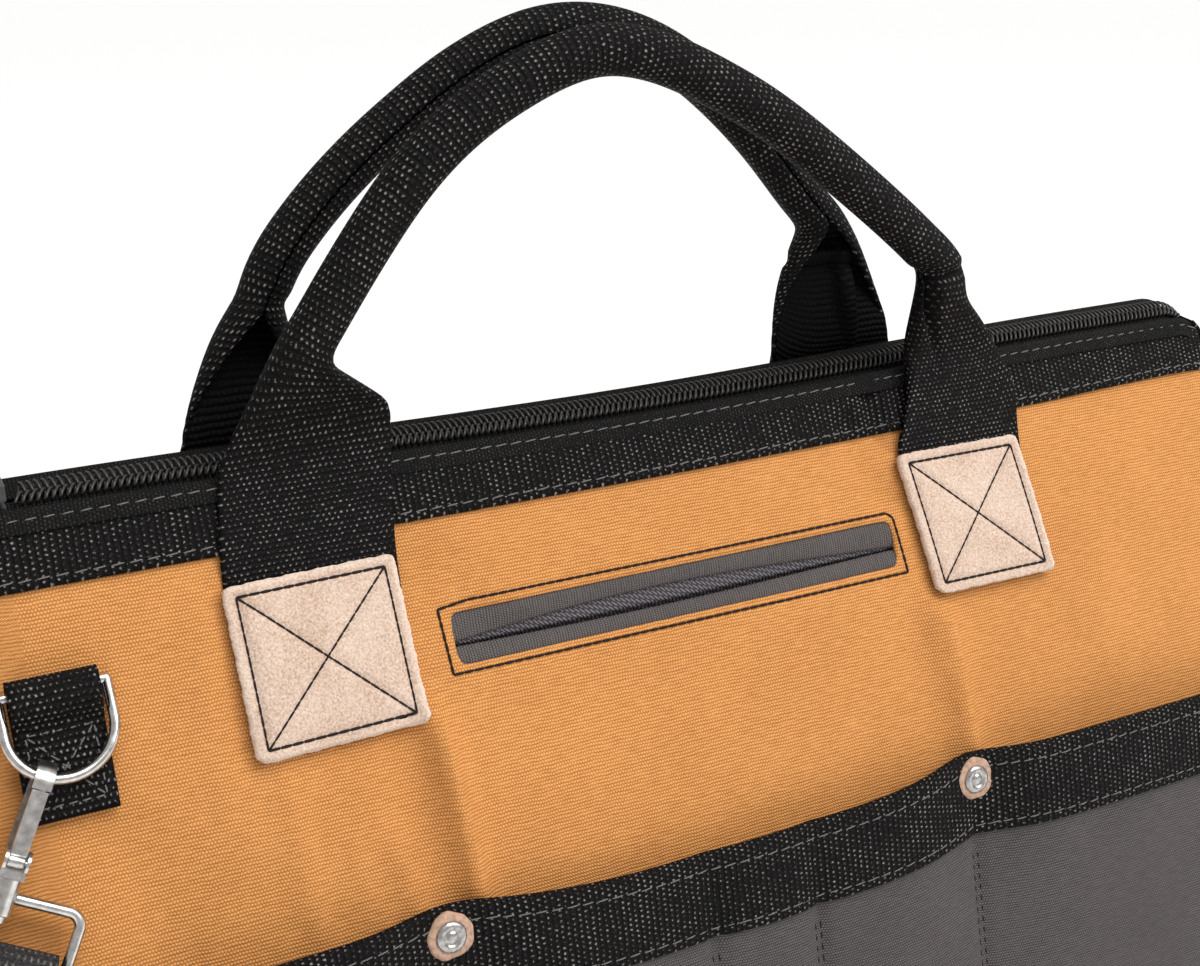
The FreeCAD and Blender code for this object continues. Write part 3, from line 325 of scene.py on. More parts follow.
def webbing(name, row, bead, dark, light, sheen_fleck, bump=WEB_BUMP, specular=0.1):
    """Webbing: rows across the strip of bright thread dashes, each dash with a brightness of its own.

    A ridge is a sine along the strip raised to a power, a dash a sine along the row, and every second
    row is shifted by half a dash; white noise on the two whole numbers gives each dash its brightness.
    The bright dashes are painted highlight, the sheen on the tops of the threads, and the dark fall
    between the rows is painted shade.
    """
    material, tree, shader = new_material(name)
    weft, warp = cloth_axes(tree)
    drift = sums(tree, "MULTIPLY_ADD", clouds(tree, DRIFT_SIZE, 2.0), 0.5 * row, -0.25 * row)
    rows = sums(tree, "DIVIDE", sums(tree, "ADD", warp, drift), row)
    row_number = sums(tree, "FLOOR", rows)
    odd = sums(tree, "FLOORED_MODULO", row_number, 2.0)
    dashes = sums(tree, "MULTIPLY_ADD", odd, 0.5, sums(tree, "DIVIDE", weft, bead))
    arch = arches(tree, rows)
    ridge = sums(tree, "POWER", arch, DASH_POWER)
    dash = sums(tree, "POWER", arches(tree, dashes), DASH_POWER)
    both = tree.nodes.new("ShaderNodeCombineXYZ")
    tree.links.new(row_number, both.inputs[0])
    tree.links.new(sums(tree, "FLOOR", dashes), both.inputs[1])
    chance = tree.nodes.new("ShaderNodeTexWhiteNoise")
    tree.links.new(both.outputs[0], chance.inputs["Vector"])
    patchy = sums(tree, "MULTIPLY_ADD", clouds(tree, WEB_PATCH, 2.0), 1.1, 0.2)
    bright = sums(tree, "MULTIPLY", sums(tree, "MULTIPLY_ADD", chance.outputs["Value"], 0.6, 0.45), patchy)
    # the dashes on the ridges are painted highlight, the sheen on each thread's top
    spot = sums(tree, "MULTIPLY", sums(tree, "MULTIPLY", ridge, dash), bright)
    fibre = clouds(tree, WEB_FIBRE, 3.0)
    tone = sums(tree, "ADD", spot, sums(tree, "MULTIPLY_ADD", fibre, 1.5, -0.6))
    tree.links.new(tinted(tree, tone, (0.1, dark), (0.45, light), (1.0, sheen_fleck)), shader.inputs["Base Color"])
    shader.inputs["Roughness"].default_value = WEB_ROUGH
    shader.inputs["Specular IOR Level"].default_value = specular
    raised(tree, shader, sums(tree, "MULTIPLY_ADD", arch, 0.6, spot), bump)
    return material


CANVAS_BUMP = 0.3 * MM
# for each canvas, the dark and the light colour span its own tone and the painted shade and highlight of its
# threads
tan_canvas = plain_weave("tan canvas", 1.05 * MM, 0.94 * MM, (0.41, 0.159, 0.039), (0.81, 0.367, 0.114),
                         CANVAS_BUMP, 0.42)
grey_canvas = plain_weave("grey canvas", 0.9 * MM, 0.9 * MM, (0.04, 0.034, 0.034), (0.132, 0.117, 0.117),
                          CANVAS_BUMP, 0.35)
# the last colour of each webbing is the painted highlight of its thread dashes
black_webbing = webbing("black webbing", 2.05 * MM, 1.66 * MM, (0.003, 0.0026, 0.0025),
                        (0.0098, 0.0087, 0.0083), (0.3, 0.275, 0.262))
handle_webbing = webbing("handle webbing", 2.2 * MM, 1.8 * MM, (0.003, 0.0026, 0.0025),
                         (0.0085, 0.0075, 0.0072), (0.29, 0.265, 0.252))
# a darker copy of the handle webbing for the strips' inner faces: painted shade where the handles shade
# themselves
shaded_inner_webbing = webbing("shaded inner webbing", 2.2 * MM, 1.8 * MM, (0.001, 0.0009, 0.0009), (0.003, 0.0027, 0.0026),
                        (0.012, 0.011, 0.0105))
zipper_tape = webbing("zipper tape", 1.1 * MM, 1.2 * MM, (0.004, 0.0036, 0.0035), (0.012, 0.011, 0.0105),
                      (0.06, 0.056, 0.054), 0.2 * MM)
strap_webbing = webbing("strap webbing", 2.2 * MM, 1.7 * MM, (0.02, 0.0192, 0.0192), (0.056, 0.0535, 0.053),
                        (0.19, 0.183, 0.18))
lip_canvas = plain_weave("lip canvas", 0.9 * MM, 0.9 * MM, (0.05, 0.043, 0.041), (0.15, 0.13, 0.124),
                         CANVAS_BUMP, 0.35)
twill_lining = plain_weave("twill lining", 1.25 * MM, 4.5 * MM, (0.025, 0.022, 0.026), (0.16, 0.14, 0.155),
                           CANVAS_BUMP, 0.12, 0.5)
print("woven materials ready")

# %% [markdown]
# The long walls stand on a wide base, lean in as far as the pocket tops, and lean in more above. A point
# on a wall is given by x along the bag and s, the distance down the slant from the top edge. Filled canvas
# is never flat, so the wall swells a little and has the soft creases that the weight of the patches and
# rivets pulls into it. Everything sewn on later asks this same function where the wall is.

# %% The shape of a long wall
TOP_SAG = 2.6 * MM
SAG_REACH = 190 * MM
SAG_FADE = 20 * MM
FRONT_DROP = 1.6 * MM
SWELL = 2.6 * MM
FLAT_FROM, FLAT_FADE = 232 * MM, 45 * MM
WAVE_HIGH, CROSS_WAVE_HIGH, WAVE_FADE = 0.7 * MM, 0.5 * MM, 40 * MM
BEND_ROUND = 20 * MM
LEAN_UPPER = math.atan2(HALF_BEND - HALF_TOP, HEIGHT - BEND_HEIGHT)
LEAN_LOWER = math.atan2(HALF_BASE - HALF_BEND, BEND_HEIGHT)
# each crease: x and s where it starts, x and s where it ends, height, width, all in millimetres
FRONT_CREASES = [(-93, 80, -89, 142, 3.4, 6), (-101, 80, -112, 130, -1.6, 9), (90, 84, 94, 142, 3.2, 7),
                 (70, 14, 79, 48, -2.0, 7), (-146, 34, -149, 84, -1.6, 6), (-91, 82, -87, 140, 2.4, 3),
                 (95, 88, 96, 138, 1.6, 3.2), (-139, 86, -136, 140, 1.2, 5),
                 (-110, 112, -106, 142, 1.4, 4), (82, 4, 84, 28, -2.4, 4.5),
                 (-150, 30, -156, 110, 1.6, 16), (30, 72, 20, 132, 1.0, 18),
                 (-40, 74, -52, 128, -1.0, 14), (-76, 24, -60, 58, 1.1, 10),
                 (150, 30, 160, 120, 1.4, 20), (-190, 88, -176, 140, -1.4, 12)]
BACK_CREASES = [(-118, 84, -96, 140, 2.0, 9), (88, 84, 97, 140, 2.4, 8), (-20, 40, -60, 130, -1.2, 16),
                (40, 30, 30, 120, 1.4, 20), (160, 40, 150, 130, 1.4, 18),
                (-170, 40, -180, 120, -1.2, 16)]


def ease(value):
    """The smooth step 3v squared minus 2v cubed, flat at both ends."""
    value = np.clip(value, 0, 1)
    return value * value * (3 - 2 * value)


def top_sag(x):
    """How far the closed mouth hangs down at x: most in the middle, none near the ends."""
    return TOP_SAG * (1 - ease(np.abs(x) / SAG_REACH))


def creases(x, s, lines):
    """The sum of the creases: each a ridge beside a hollow, across its line, easing out at its ends."""
    lift = np.zeros(np.broadcast(x, s).shape)
    for x0, s0, x1, s1, height, width in lines:
        part = (s / MM - s0) / (s1 - s0)
        offset = (x / MM - x0 - (x1 - x0) * part) / width
        fade = ease(part * 4 + 0.6) * ease((1 - part) * 4 + 0.6)
        lift = lift + height * MM * fade * np.exp(-offset * offset) * (1 + 0.8 * offset)
    return lift


def wall_relief(x, s, side):
    """The wall's departure from flat: a broad swell, two slow waves, and the creases; none at the corners."""
    flat = ease((FLAT_FROM - np.abs(x)) / FLAT_FADE)
    swell = SWELL * np.sin(np.pi * np.clip(s / UPPER, 0, 1)) ** 0.8 * np.cos(np.pi * x / (2.2 * HALF_LENGTH))
    waves = WAVE_HIGH * np.sin(x / (26 * MM) + side) * np.sin(s / (31 * MM) + 0.5 * side)
    waves = waves + CROSS_WAVE_HIGH * np.sin(x / (41 * MM) - s / (23 * MM) + 2 * side)
    near_top = ease(s / WAVE_FADE)
    lines = FRONT_CREASES if side > 0 else BACK_CREASES
    return flat * (swell + near_top * waves + creases(x, s, lines))


def wall_lean(s):
    """The wall's angle from upright, turning smoothly from the upper lean to the lower one at the bend."""
    return LEAN_UPPER + (LEAN_LOWER - LEAN_UPPER) * ease((s - UPPER) / BEND_ROUND + 0.5)


def wall_point(x, s, out=0.0, side=1):
    """A point out from the long wall: the two straight slants, plus the relief and out along the normal."""
    x, s, out = np.broadcast_arrays(np.asarray(x, float), np.asarray(s, float), np.asarray(out, float))
    upper = np.clip(s / UPPER, None, 1)
    lower = np.clip((s - UPPER) / LOWER, 0, 1)
    depth = HALF_TOP + (HALF_BEND - HALF_TOP) * upper + (HALF_BASE - HALF_BEND) * lower
    height = HEIGHT - (HEIGHT - BEND_HEIGHT) * upper - BEND_HEIGHT * lower
    lift = out + wall_relief(x, s, side)
    lean = wall_lean(s)
    y = -(depth + lift * np.cos(lean))
    hang = top_sag(x) + (FRONT_DROP if side > 0 else 0)
    z = height + lift * np.sin(lean) - hang * np.exp(-np.maximum(s, 0) / SAG_FADE)
    return np.stack([side * x, side * y, z], -1)


leans = [round(math.degrees(lean), 1) for lean in (LEAN_UPPER, LEAN_LOWER)]
print("wall leans", leans, "degrees above and below")

# %% [markdown]
# The canvas body is one lofted shell: along the front, round a soft corner, across the end, and back along
# the other side. At each end the top edge turns over in a round, so the columns there follow a circle. A slot
# in the front wall is cut out for the welted slit pocket: the grid leaves a gap there, and rings of quads
# close in from the gap to the slot's rounded outline.

# %% Canvas body
COLUMN = 2.5 * MM
STRAIGHT = 200 * MM
END_ROUND = 15 * MM
CORNER_BASE = 18 * MM
CORNER_TOP = 6 * MM
TOP_TUCK = 4 * MM
TOP_START = 2.5 * MM
ROWS = 76
CANVAS = 1.6 * MM
SLOT_LEFT, SLOT_RIGHT, SLOT_TOP, SLOT_BOTTOM = -79.2 * MM, 81.6 * MM, 52.2 * MM, 68.4 * MM
SLOT_ROUND = 3 * MM
SLOT_ASIDE, SLOT_ABOVE = 10 * MM, 9 * MM
HEM = 1.5 * MM
END_BOW, BOW_HEIGHT = 5 * MM, 190 * MM
SIDE_COLUMNS = round(STRAIGHT / COLUMN)

wall_x = np.arange(-SIDE_COLUMNS, SIDE_COLUMNS + 1) * COLUMN
wall_s = np.linspace(TOP_START, UPPER + LOWER - HEM, ROWS)


def end_turn(s):
    """The columns from the front wall round one end to the back wall: line, arc, line, arc, line.

    Near the top the end follows a circle whose radius is TOP_TUCK less, so it stays under the zipper's tape.
    """
    s = s[:, None]
    flat_point = wall_point(np.zeros_like(s) + HALF_LENGTH, s)
    depth, height = -flat_point[..., 1], flat_point[..., 2]
    above = 1 - np.clip((HEIGHT - height) / END_ROUND, 0, 1)
    radius = END_ROUND - TOP_TUCK * ease((above - 0.15) / 0.45)
    reach = HALF_LENGTH - END_ROUND + radius * np.sqrt(1 - above ** 2)
    sunk = (END_ROUND - radius) * above
    bow = END_BOW * np.sin(np.pi * np.clip(height / BOW_HEIGHT, 0, 1))
    corner = np.minimum(CORNER_TOP + (CORNER_BASE - CORNER_TOP) * (1 - height / HEIGHT), 0.7 * depth)
    step = np.linspace(0, 1, 9)[None, 1:]
    turn = np.linspace(0, np.pi / 2, 9)[None, 1:]
    over = np.linspace(0, 1, 25)[None, 1:]
    x_line = STRAIGHT + (reach - corner - STRAIGHT) * step
    line = wall_point(x_line, s)
    line[..., 2] -= sunk * ease(step)
    back_line = wall_point(-x_line[:, -2::-1], s, side=-1)
    back_line[..., 2] -= (sunk + FRONT_DROP * np.exp(-s / SAG_FADE)) * ease(step[:, -2::-1])
    height = height - sunk
    arc = stacked(reach - corner + corner * np.sin(turn), -depth + corner * (1 - np.cos(turn)), height)
    cross = -depth + corner + 2 * (depth - corner) * over
    middle = np.cos(np.pi / 2 * np.clip(cross / (depth - corner + 1e-9), -1, 1)) ** 2
    end = stacked(reach + bow * middle, cross, height)
    back_arc = arc[:, -2::-1] * np.array([1, -1, 1])
    first_corner = np.stack([reach - corner, depth, height], -1)
    return np.concatenate([line, arc, end, back_arc, first_corner, back_line], axis=1)


half_turn = np.array([-1, -1, 1])
front_wall = wall_point(wall_x[None, :], wall_s[:, None])
back_wall = wall_point(wall_x[None, :], wall_s[:, None], side=-1)
round_end = end_turn(wall_s)
body_ring = np.concatenate([front_wall, round_end, back_wall, round_end * half_turn], axis=1)
body_steps = np.linalg.norm(np.diff(np.concatenate([body_ring, body_ring[:, :1]], 1), axis=1), axis=-1)
along_body = np.concatenate([np.zeros((ROWS, 1)), np.cumsum(body_steps, axis=1)], axis=1) - STRAIGHT
body_uv = stacked(along_body, wall_s[:, None])

gap_columns = np.flatnonzero((wall_x > SLOT_LEFT - SLOT_ASIDE) & (wall_x < SLOT_RIGHT + SLOT_ASIDE))
gap_rows = np.flatnonzero((wall_s > SLOT_TOP - SLOT_ABOVE) & (wall_s < SLOT_BOTTOM + SLOT_ABOVE))
c0, c1, r0, r1 = gap_columns[0], gap_columns[-1], gap_rows[0], gap_rows[-1]
index = np.arange(body_ring.shape[0] * body_ring.shape[1]).reshape(body_ring.shape[:2])
rim = np.concatenate([index[r0, c0:c1], index[r0:r1, c1], index[r1, c1:c0:-1], index[r1:r0:-1, c0]])
rim_x = wall_x[np.clip(rim % body_ring.shape[1], 0, len(wall_x) - 1)]
rim_s = wall_s[rim // body_ring.shape[1]]
slot_x = np.clip(rim_x, SLOT_LEFT, SLOT_RIGHT)
slot_s = np.clip(rim_s, SLOT_TOP, SLOT_BOTTOM)
inner_x = np.clip(slot_x, SLOT_LEFT + SLOT_ROUND, SLOT_RIGHT - SLOT_ROUND)
inner_s = np.clip(slot_s, SLOT_TOP + SLOT_ROUND, SLOT_BOTTOM - SLOT_ROUND)
pull = np.stack([slot_x - inner_x, slot_s - inner_s], -1)
pull_length = np.minimum(np.linalg.norm(pull, axis=-1), SLOT_ROUND)
slot_edge = np.stack([inner_x, inner_s], -1) + unit(pull) * pull_length[:, None]
share = np.linspace(0, 1, 5)[1:, None]
ring_x = rim_x + (slot_edge[:, 0] - rim_x) * share
ring_s = rim_s + (slot_edge[:, 1] - rim_s) * share
slot_points = wall_point(ring_x, ring_s)
all_quads = grid_quads(body_ring.shape[0], body_ring.shape[1], wrap=True).reshape(ROWS - 1, -1, 4)
keep = np.ones(all_quads.shape[:2], bool)
keep[r0:r1, c0:c1] = False
body_corners = grid_corners(body_uv).reshape(ROWS - 1, -1, 4, 2)
slot_index = index.size + np.arange(slot_points.shape[0] * len(rim)).reshape(-1, len(rim))
ring_index = np.concatenate([rim[None], slot_index])
ring_index = np.concatenate([ring_index, ring_index[:, :1]], 1)
slot_quads = quad_corners(ring_index)
ring_uv = np.stack([np.concatenate([rim_x[None], ring_x]), np.concatenate([rim_s[None], ring_s])], -1)
ring_uv = np.concatenate([ring_uv, ring_uv[:, :1]], 1)
body_part = (np.concatenate([body_ring.reshape(-1, 3), slot_points.reshape(-1, 3)]),
             np.concatenate([all_quads[keep], slot_quads.reshape(-1, 4)]),
             np.concatenate([body_corners[keep], grid_corners(ring_uv)]), [])
canvas_body = put_piece("canvas_body", [body_part], tan_canvas, "bag",
                        ("front_panel", "back_panel", "left_end_panel", "right_end_panel"))
middle_face = canvas_body.data.polygons[len(wall_x) // 2]
if middle_face.normal.y > 0:
    canvas_body.data.flip_normals()
thickness = canvas_body.modifiers.new("canvas thickness", "SOLIDIFY")
thickness.thickness = CANVAS
thickness.offset = -1

# %% [markdown]
# The base is a flat panel with a rounded edge that turns up round the foot of the walls. Its outline is a
# rounded rectangle; sweeping a small rounded profile round that outline and closing it in the middle gives
# the whole base as one grid.

# %% Base
BASE_SIDES = 128
BASE_MARGIN = 1.8 * MM
angle = np.linspace(0, 2 * np.pi, BASE_SIDES, endpoint=False)
signs = np.stack([np.sign(np.cos(angle)), np.sign(np.sin(angle))], -1)
half_base = np.array([HALF_LENGTH, HALF_BASE + BASE_MARGIN])
base_corner = half_base - CORNER_BASE
outward = np.stack([np.cos(angle), np.sin(angle)], -1)
base_outline = signs * base_corner + outward * CORNER_BASE
# each step of the profile: how far out from the outline, and how high
base_profile = np.array([(-60, 0.4), (-8, 0.2), (-2, 0.2), (0.4, 1.0), (1.5, 2.6), (1.6, 4.6),
                         (1.1, 5.8), (0.2, 6.0), (-1.2, 5.6), (-3, 4), (-8, 3), (-60, 3)]) * MM
shrink = np.maximum(base_profile[:, 0], -CORNER_BASE * 0.9)
base_xy = base_outline[None] + outward[None] * shrink[:, None, None]
deep = base_profile[:, 0] < -50 * MM
base_xy[deep] = base_outline[None] * 0.02
base_z = np.broadcast_to(base_profile[:, 1][:, None, None], base_xy.shape[:2] + (1,))
base_grid = np.concatenate([base_xy, base_z], -1)
base_uv = np.concatenate([base_grid[..., :2], base_grid[:, :1, :2]], 1)
base_part = (base_grid.reshape(-1, 3), grid_quads(*base_grid.shape[:2], wrap=True), grid_corners(base_uv),
             end_faces(*base_grid.shape[:2]))
put_piece("base", [base_part], grey_canvas, "bag", ("base_panel",))

# %% [markdown]
# The open pockets are a second layer of grey canvas, sewn to the wall along four upright seams and at the
# ends, and slack between them. So the surface puffs out between seams and is pulled into a groove along
# each. At the top it stands away from the wall, which makes the pockets' mouths.

# %% Pocket walls
POCKET_SEAMS = np.array([-239, -91, -14, 24, 91, 239]) * MM
POCKET_GAPE = 8 * MM
POCKET_PUFF = 3.2 * MM
POCKET_CLOTH = 1.8 * MM
MOUTH_RISE = 5 * MM
RIVET_X = 95.5 * MM
RIVET_SHIFT = 4.5 * MM
GROOVE_WIDE, GROOVE_DEEP = 2.4 * MM, 1.1 * MM
SLACK = 0.6 * MM
END_MARGIN, END_FADE = 3 * MM, 26 * MM
RIVET_PULL, MOUTH_FLAT = 17 * MM, 70 * MM
CORNER_FROM, CORNER_LONG = 224 * MM, 16 * MM
POCKET_LENGTH = math.hypot(HALF_BASE - HALF_BEND - POCKET_GAPE, BEND_HEIGHT)
POCKET_LEAN = math.atan2(HALF_BASE - HALF_BEND - POCKET_GAPE, BEND_HEIGHT)


def pocket_point(x, down, out=0.0, side=1):
    """A point out from the pocket: the slant from mouth to base, puffed out between its grooved seams."""
    x, down, out = np.broadcast_arrays(np.asarray(x, float), np.asarray(down, float), np.asarray(out, float))
    part = np.clip(down / POCKET_LENGTH, 0, 1)
    cell = np.clip(np.searchsorted(POCKET_SEAMS, x) - 1, 0, len(POCKET_SEAMS) - 2)
    left, right = POCKET_SEAMS[cell], POCKET_SEAMS[cell + 1]
    puff = np.sin(np.pi * np.clip((x - left) / (right - left), 0, 1)) ** 0.6
    puff = puff * POCKET_PUFF * (0.25 + 0.75 * np.sin(np.pi * np.clip(part * 0.9 + 0.1, 0, 1)))
    groove = np.exp(-((x[..., None] - POCKET_SEAMS[1:-1]) / GROOVE_WIDE) ** 2).sum(-1) * GROOVE_DEEP
    slack = SLACK * np.sin(x / (19 * MM) + 3 * part) * np.sin(np.pi * part)
    ends = ease((HALF_LENGTH - END_MARGIN - np.abs(x)) / END_FADE)
    at_rivets = np.exp(-((np.abs(x + RIVET_SHIFT) - RIVET_X) / RIVET_PULL) ** 2)
    gape = POCKET_GAPE * (1 - part) * ends * (1 - 0.6 * at_rivets)
    rise = MOUTH_RISE * (1 - np.exp(-(x / MOUTH_FLAT) ** 4)) * (1 - part)
    lift = out + ends * (puff - groove * ease(part * 5) + slack)
    y = -(HALF_BEND + (HALF_BASE - HALF_BEND) * part + gape + lift * math.cos(POCKET_LEAN))
    past = np.clip((np.abs(x) - CORNER_FROM) / CORNER_LONG, 0, 1)
    corner = CORNER_BASE * 0.6 * (1 - np.sqrt(np.clip(1 - past ** 2, 0, 1)))
    z = BEND_HEIGHT + rise - down * math.cos(POCKET_LEAN) + lift * math.sin(POCKET_LEAN)
    return np.stack([side * x, side * (y + corner), z], -1)


pocket_x = np.linspace(-238.5, 238.5, 240) * MM
pocket_down = np.linspace(0.5 * MM, POCKET_LENGTH - 1 * MM, 44)
for side, node in ((1, "front_pocket"), (-1, "back_pocket")):
    grid = pocket_point(pocket_x[None, :], pocket_down[:, None], POCKET_CLOTH, side)
    uv = stacked(pocket_x[None, :], pocket_down[:, None])
    put_piece(node + "_cloth", [cloth(grid, uv, POCKET_CLOTH)], grey_canvas, "bag", (node,))

# %% [markdown]
# Black webbing binds the pocket mouths and the bag's top edge. A binding is a strip folded over an edge, so
# its cross-section is a hook shape: down the outside, round the edge, and a short way down the inside. That
# section is carried along x and placed by the wall's own function, so it follows every swell.

# %% Bindings
WEB = 1.5 * MM
POCKET_BAND = 25.4 * MM
TOP_BAND = 21.5 * MM
# where the bands end along x, in millimetres
POCKET_BAND_END, TOP_BAND_END = 237.5, 235.5
BAND_COLUMNS = 200
# toward the right end of the front the top band is folded a little narrower
BAND_NARROWS, NARROW_FROM, NARROW_LONG = 0.07, 140 * MM, 80 * MM


def binding_section(width, outside, inside, edge, tail):
    """Distances down and out along a folded strip: up the outside, half round the edge, down the inside."""
    half = (outside - inside) / 2
    turn = np.linspace(0, np.pi, 9)[1:-1]
    middle = (outside + inside) / 2
    down = [np.linspace(width, edge, 16), edge - half * np.sin(turn), np.linspace(edge, tail, 5)]
    out = [np.full(16, outside), middle + half * np.cos(turn), np.full(5, inside)]
    return np.concatenate(down), np.concatenate(out)


def bind(nodes, x, section, place):
    """A binding on both sides of the bag: its folded section carried along x by a placing function."""
    down, out = section
    strip = running_length(np.stack([down, out], -1))
    for side, node in zip((1, -1), nodes):
        grid = place(x[:, None], down[None, :], out[None, :], side)
        uv = stacked(strip[None, :], x[:, None])
        put_piece(node + "_web", [cloth(grid, uv, WEB)], black_webbing, "bag", (node,))


def mouth_point(x, down, out, side):
    """A point on the pocket band: on the pocket, and straight up from its mouth above that."""
    point = pocket_point(x, np.maximum(down, 0.01 * MM), out, side)
    point[..., 2] -= np.minimum(down, 0)
    return point


def end_drop(x):
    """How far the rounded top edge lies below the straight one, down the wall: the circle's fall."""
    past = np.clip(np.abs(x) - (HALF_LENGTH - END_ROUND), 0, END_ROUND)
    return (END_ROUND - np.sqrt(END_ROUND ** 2 - past ** 2)) / math.cos(LEAN_UPPER)


def top_point(x, down, out, side):
    """A point on the top band: its upper edge follows the rounded end while its lower edge runs straight."""
    drop = end_drop(x)
    narrow = 1 - BAND_NARROWS * ease((side * x - NARROW_FROM) / NARROW_LONG)
    return wall_point(x, drop + down * narrow * (1 - drop / TOP_BAND), out, side)


band_x = np.linspace(-POCKET_BAND_END, POCKET_BAND_END, BAND_COLUMNS) * MM
top_x = np.linspace(-TOP_BAND_END, TOP_BAND_END, BAND_COLUMNS) * MM
bind(("front_pocket_band", "back_pocket_band"), band_x,
     binding_section(POCKET_BAND, POCKET_CLOTH + 1.7 * MM, -1.6 * MM, 0.8 * MM, 12 * MM), mouth_point)
bind(("front_top_band", "back_top_band"), top_x,
     binding_section(TOP_BAND, 1.9 * MM, -1.0 * MM, 1.2 * MM, 9 * MM), top_point)

# %% [markdown]
# A row of stitches is a row of short round threads lying along a line, each sunk a little at both ends. One
# small capsule is worked out once and copied to every stitch as a whole array, so thousands of stitches
# cost one mesh. The thread's colour decides which mesh it goes to.

# %% Stitches
CAPSULE_SIDES = 6
capsule_along = np.array([-1, -0.72, 0, 0.72, 1])
capsule_round = np.array([0.3, 0.86, 1, 0.86, 0.3])
capsule_sink = np.array([-1, -0.3, 0.1, -0.3, -1])
STITCH_TILT = 0.09
LOOSE_GAP = 0.5 * MM
NORMAL_STEP = 2 * MM
STITCH, STITCH_GAP, STITCH_THICK = 3.8 * MM, 1.2 * MM, 0.25 * MM
BAND_STITCH, BAND_GAP, BAND_THREAD = 5.0 * MM, 1.0 * MM, 0.23 * MM
thread_parts = {"grey": [], "black": []}


def even_points(path, step):
    """Points a given step apart along a path, found from the running length of its pieces."""
    length = running_length(path)
    wanted = np.linspace(0, length[-1], max(int(round(length[-1] / step)), 1) + 1)
    return at_lengths(wanted, length, path)


def sew(path, lift, pitch, gap, thick, colour):
    """Capsules along a path on a surface: each covers a pitch less a gap, tilted as a locked stitch is."""
    spots = even_points(path, pitch)
    normals = unit(at_lengths(np.linspace(0, 1, len(spots) - 1), np.linspace(0, 1, len(lift)), lift))
    start, end = spots[:-1], spots[1:]
    along = unit(end - start)
    along = unit(along + np.cross(normals, along) * (STITCH_TILT if gap > LOOSE_GAP else 0))
    aside = unit(np.cross(along, normals))
    sink = capsule_sink * (1 if gap > LOOSE_GAP else 0.3)
    length = (np.linalg.norm(end - start, axis=1) - gap) / 2
    angle = np.linspace(0, 2 * np.pi, CAPSULE_SIDES, endpoint=False)
    middle = (start + end) / 2
    forward = (capsule_along[None, :, None] * length[:, None, None])[..., None]
    upward = (capsule_round[None, :, None] * np.sin(angle) * 0.8 + sink[None, :, None])[..., None]
    sideward = aside[:, None, None] * thick * capsule_round[None, :, None, None]
    ring = (middle[:, None, None] + along[:, None, None] * forward
            + sideward * np.cos(angle)[None, None, :, None] + normals[:, None, None] * thick * upward)
    quads = grid_quads(len(capsule_along), CAPSULE_SIDES, wrap=True)
    per = len(capsule_along) * CAPSULE_SIDES
    starts = np.arange(len(start)) * per
    all_quads = (quads[None] + starts[:, None, None]).reshape(-1, 4)
    ends = end_faces(len(capsule_along), CAPSULE_SIDES)
    caps = [[c + int(first) for c in cap] for first in starts for cap in ends]
    uv = np.zeros((len(all_quads), 4, 2))
    uv[..., 0] = capsule_along[(all_quads % per) // CAPSULE_SIDES] * 2 * MM
    uv[..., 1] = (all_quads % CAPSULE_SIDES) * 0.2 * MM
    thread_parts[colour].append((ring.reshape(-1, 3), all_quads, uv, caps))
    return len(start)


def sew_on(place, x, down, out, side, colour="grey", pitch=STITCH, gap=STITCH_GAP, thick=STITCH_THICK):
    """A row of stitches on a wall or a pocket, through points given by x and the distance down."""
    flat = even_points(np.stack([np.asarray(x, float), np.asarray(down, float)], -1), NORMAL_STEP)
    path = place(flat[:, 0], flat[:, 1], out, side)
    above = place(flat[:, 0], flat[:, 1], out + NORMAL_STEP, side)
    return sew(path, above - path, pitch, gap, thick, colour)


count = 0
band_stitch = ("grey", BAND_STITCH, BAND_GAP, BAND_THREAD)
for side in (1, -1):
    for s, height in ((2.2 * MM, 2.85 * MM), (19.4 * MM, 2.0 * MM)):
        row = np.linspace(-234, 234, 240) * MM
        path = top_point(row, s, height, side)
        lift = top_point(row, s, height + NORMAL_STEP, side) - path
        count += sew(path, lift, BAND_STITCH, BAND_GAP, BAND_THREAD, "grey")
    for row in (3.4 * MM, 22.8 * MM):
        count += sew_on(pocket_point, [-236 * MM, 236 * MM], [row, row], POCKET_CLOTH + 1.8 * MM, side,
                        *band_stitch)
    for seam in POCKET_SEAMS[1:-1]:
        for beside in (-1.1 * MM, 1.1 * MM):
            count += sew_on(pocket_point, [seam + beside] * 2, [32 * MM, POCKET_LENGTH - 4 * MM],
                            POCKET_CLOTH + 0.1 * MM, side, "black")
print(count, "stitches on the bindings and pocket seams")

# %% [markdown]
# Each handle is one long strip of webbing. It is sewn flat to the wall under a patch and rises past the top
# edge. There its two sides are rolled together into a tube for the hand, which opens flat again on the other
# side. Two pieces could be joined there, but the strip stays one grid: as it rises its sides turn back in
# rounds, until they meet. Its lower ends stay with the bag while the tube swings.

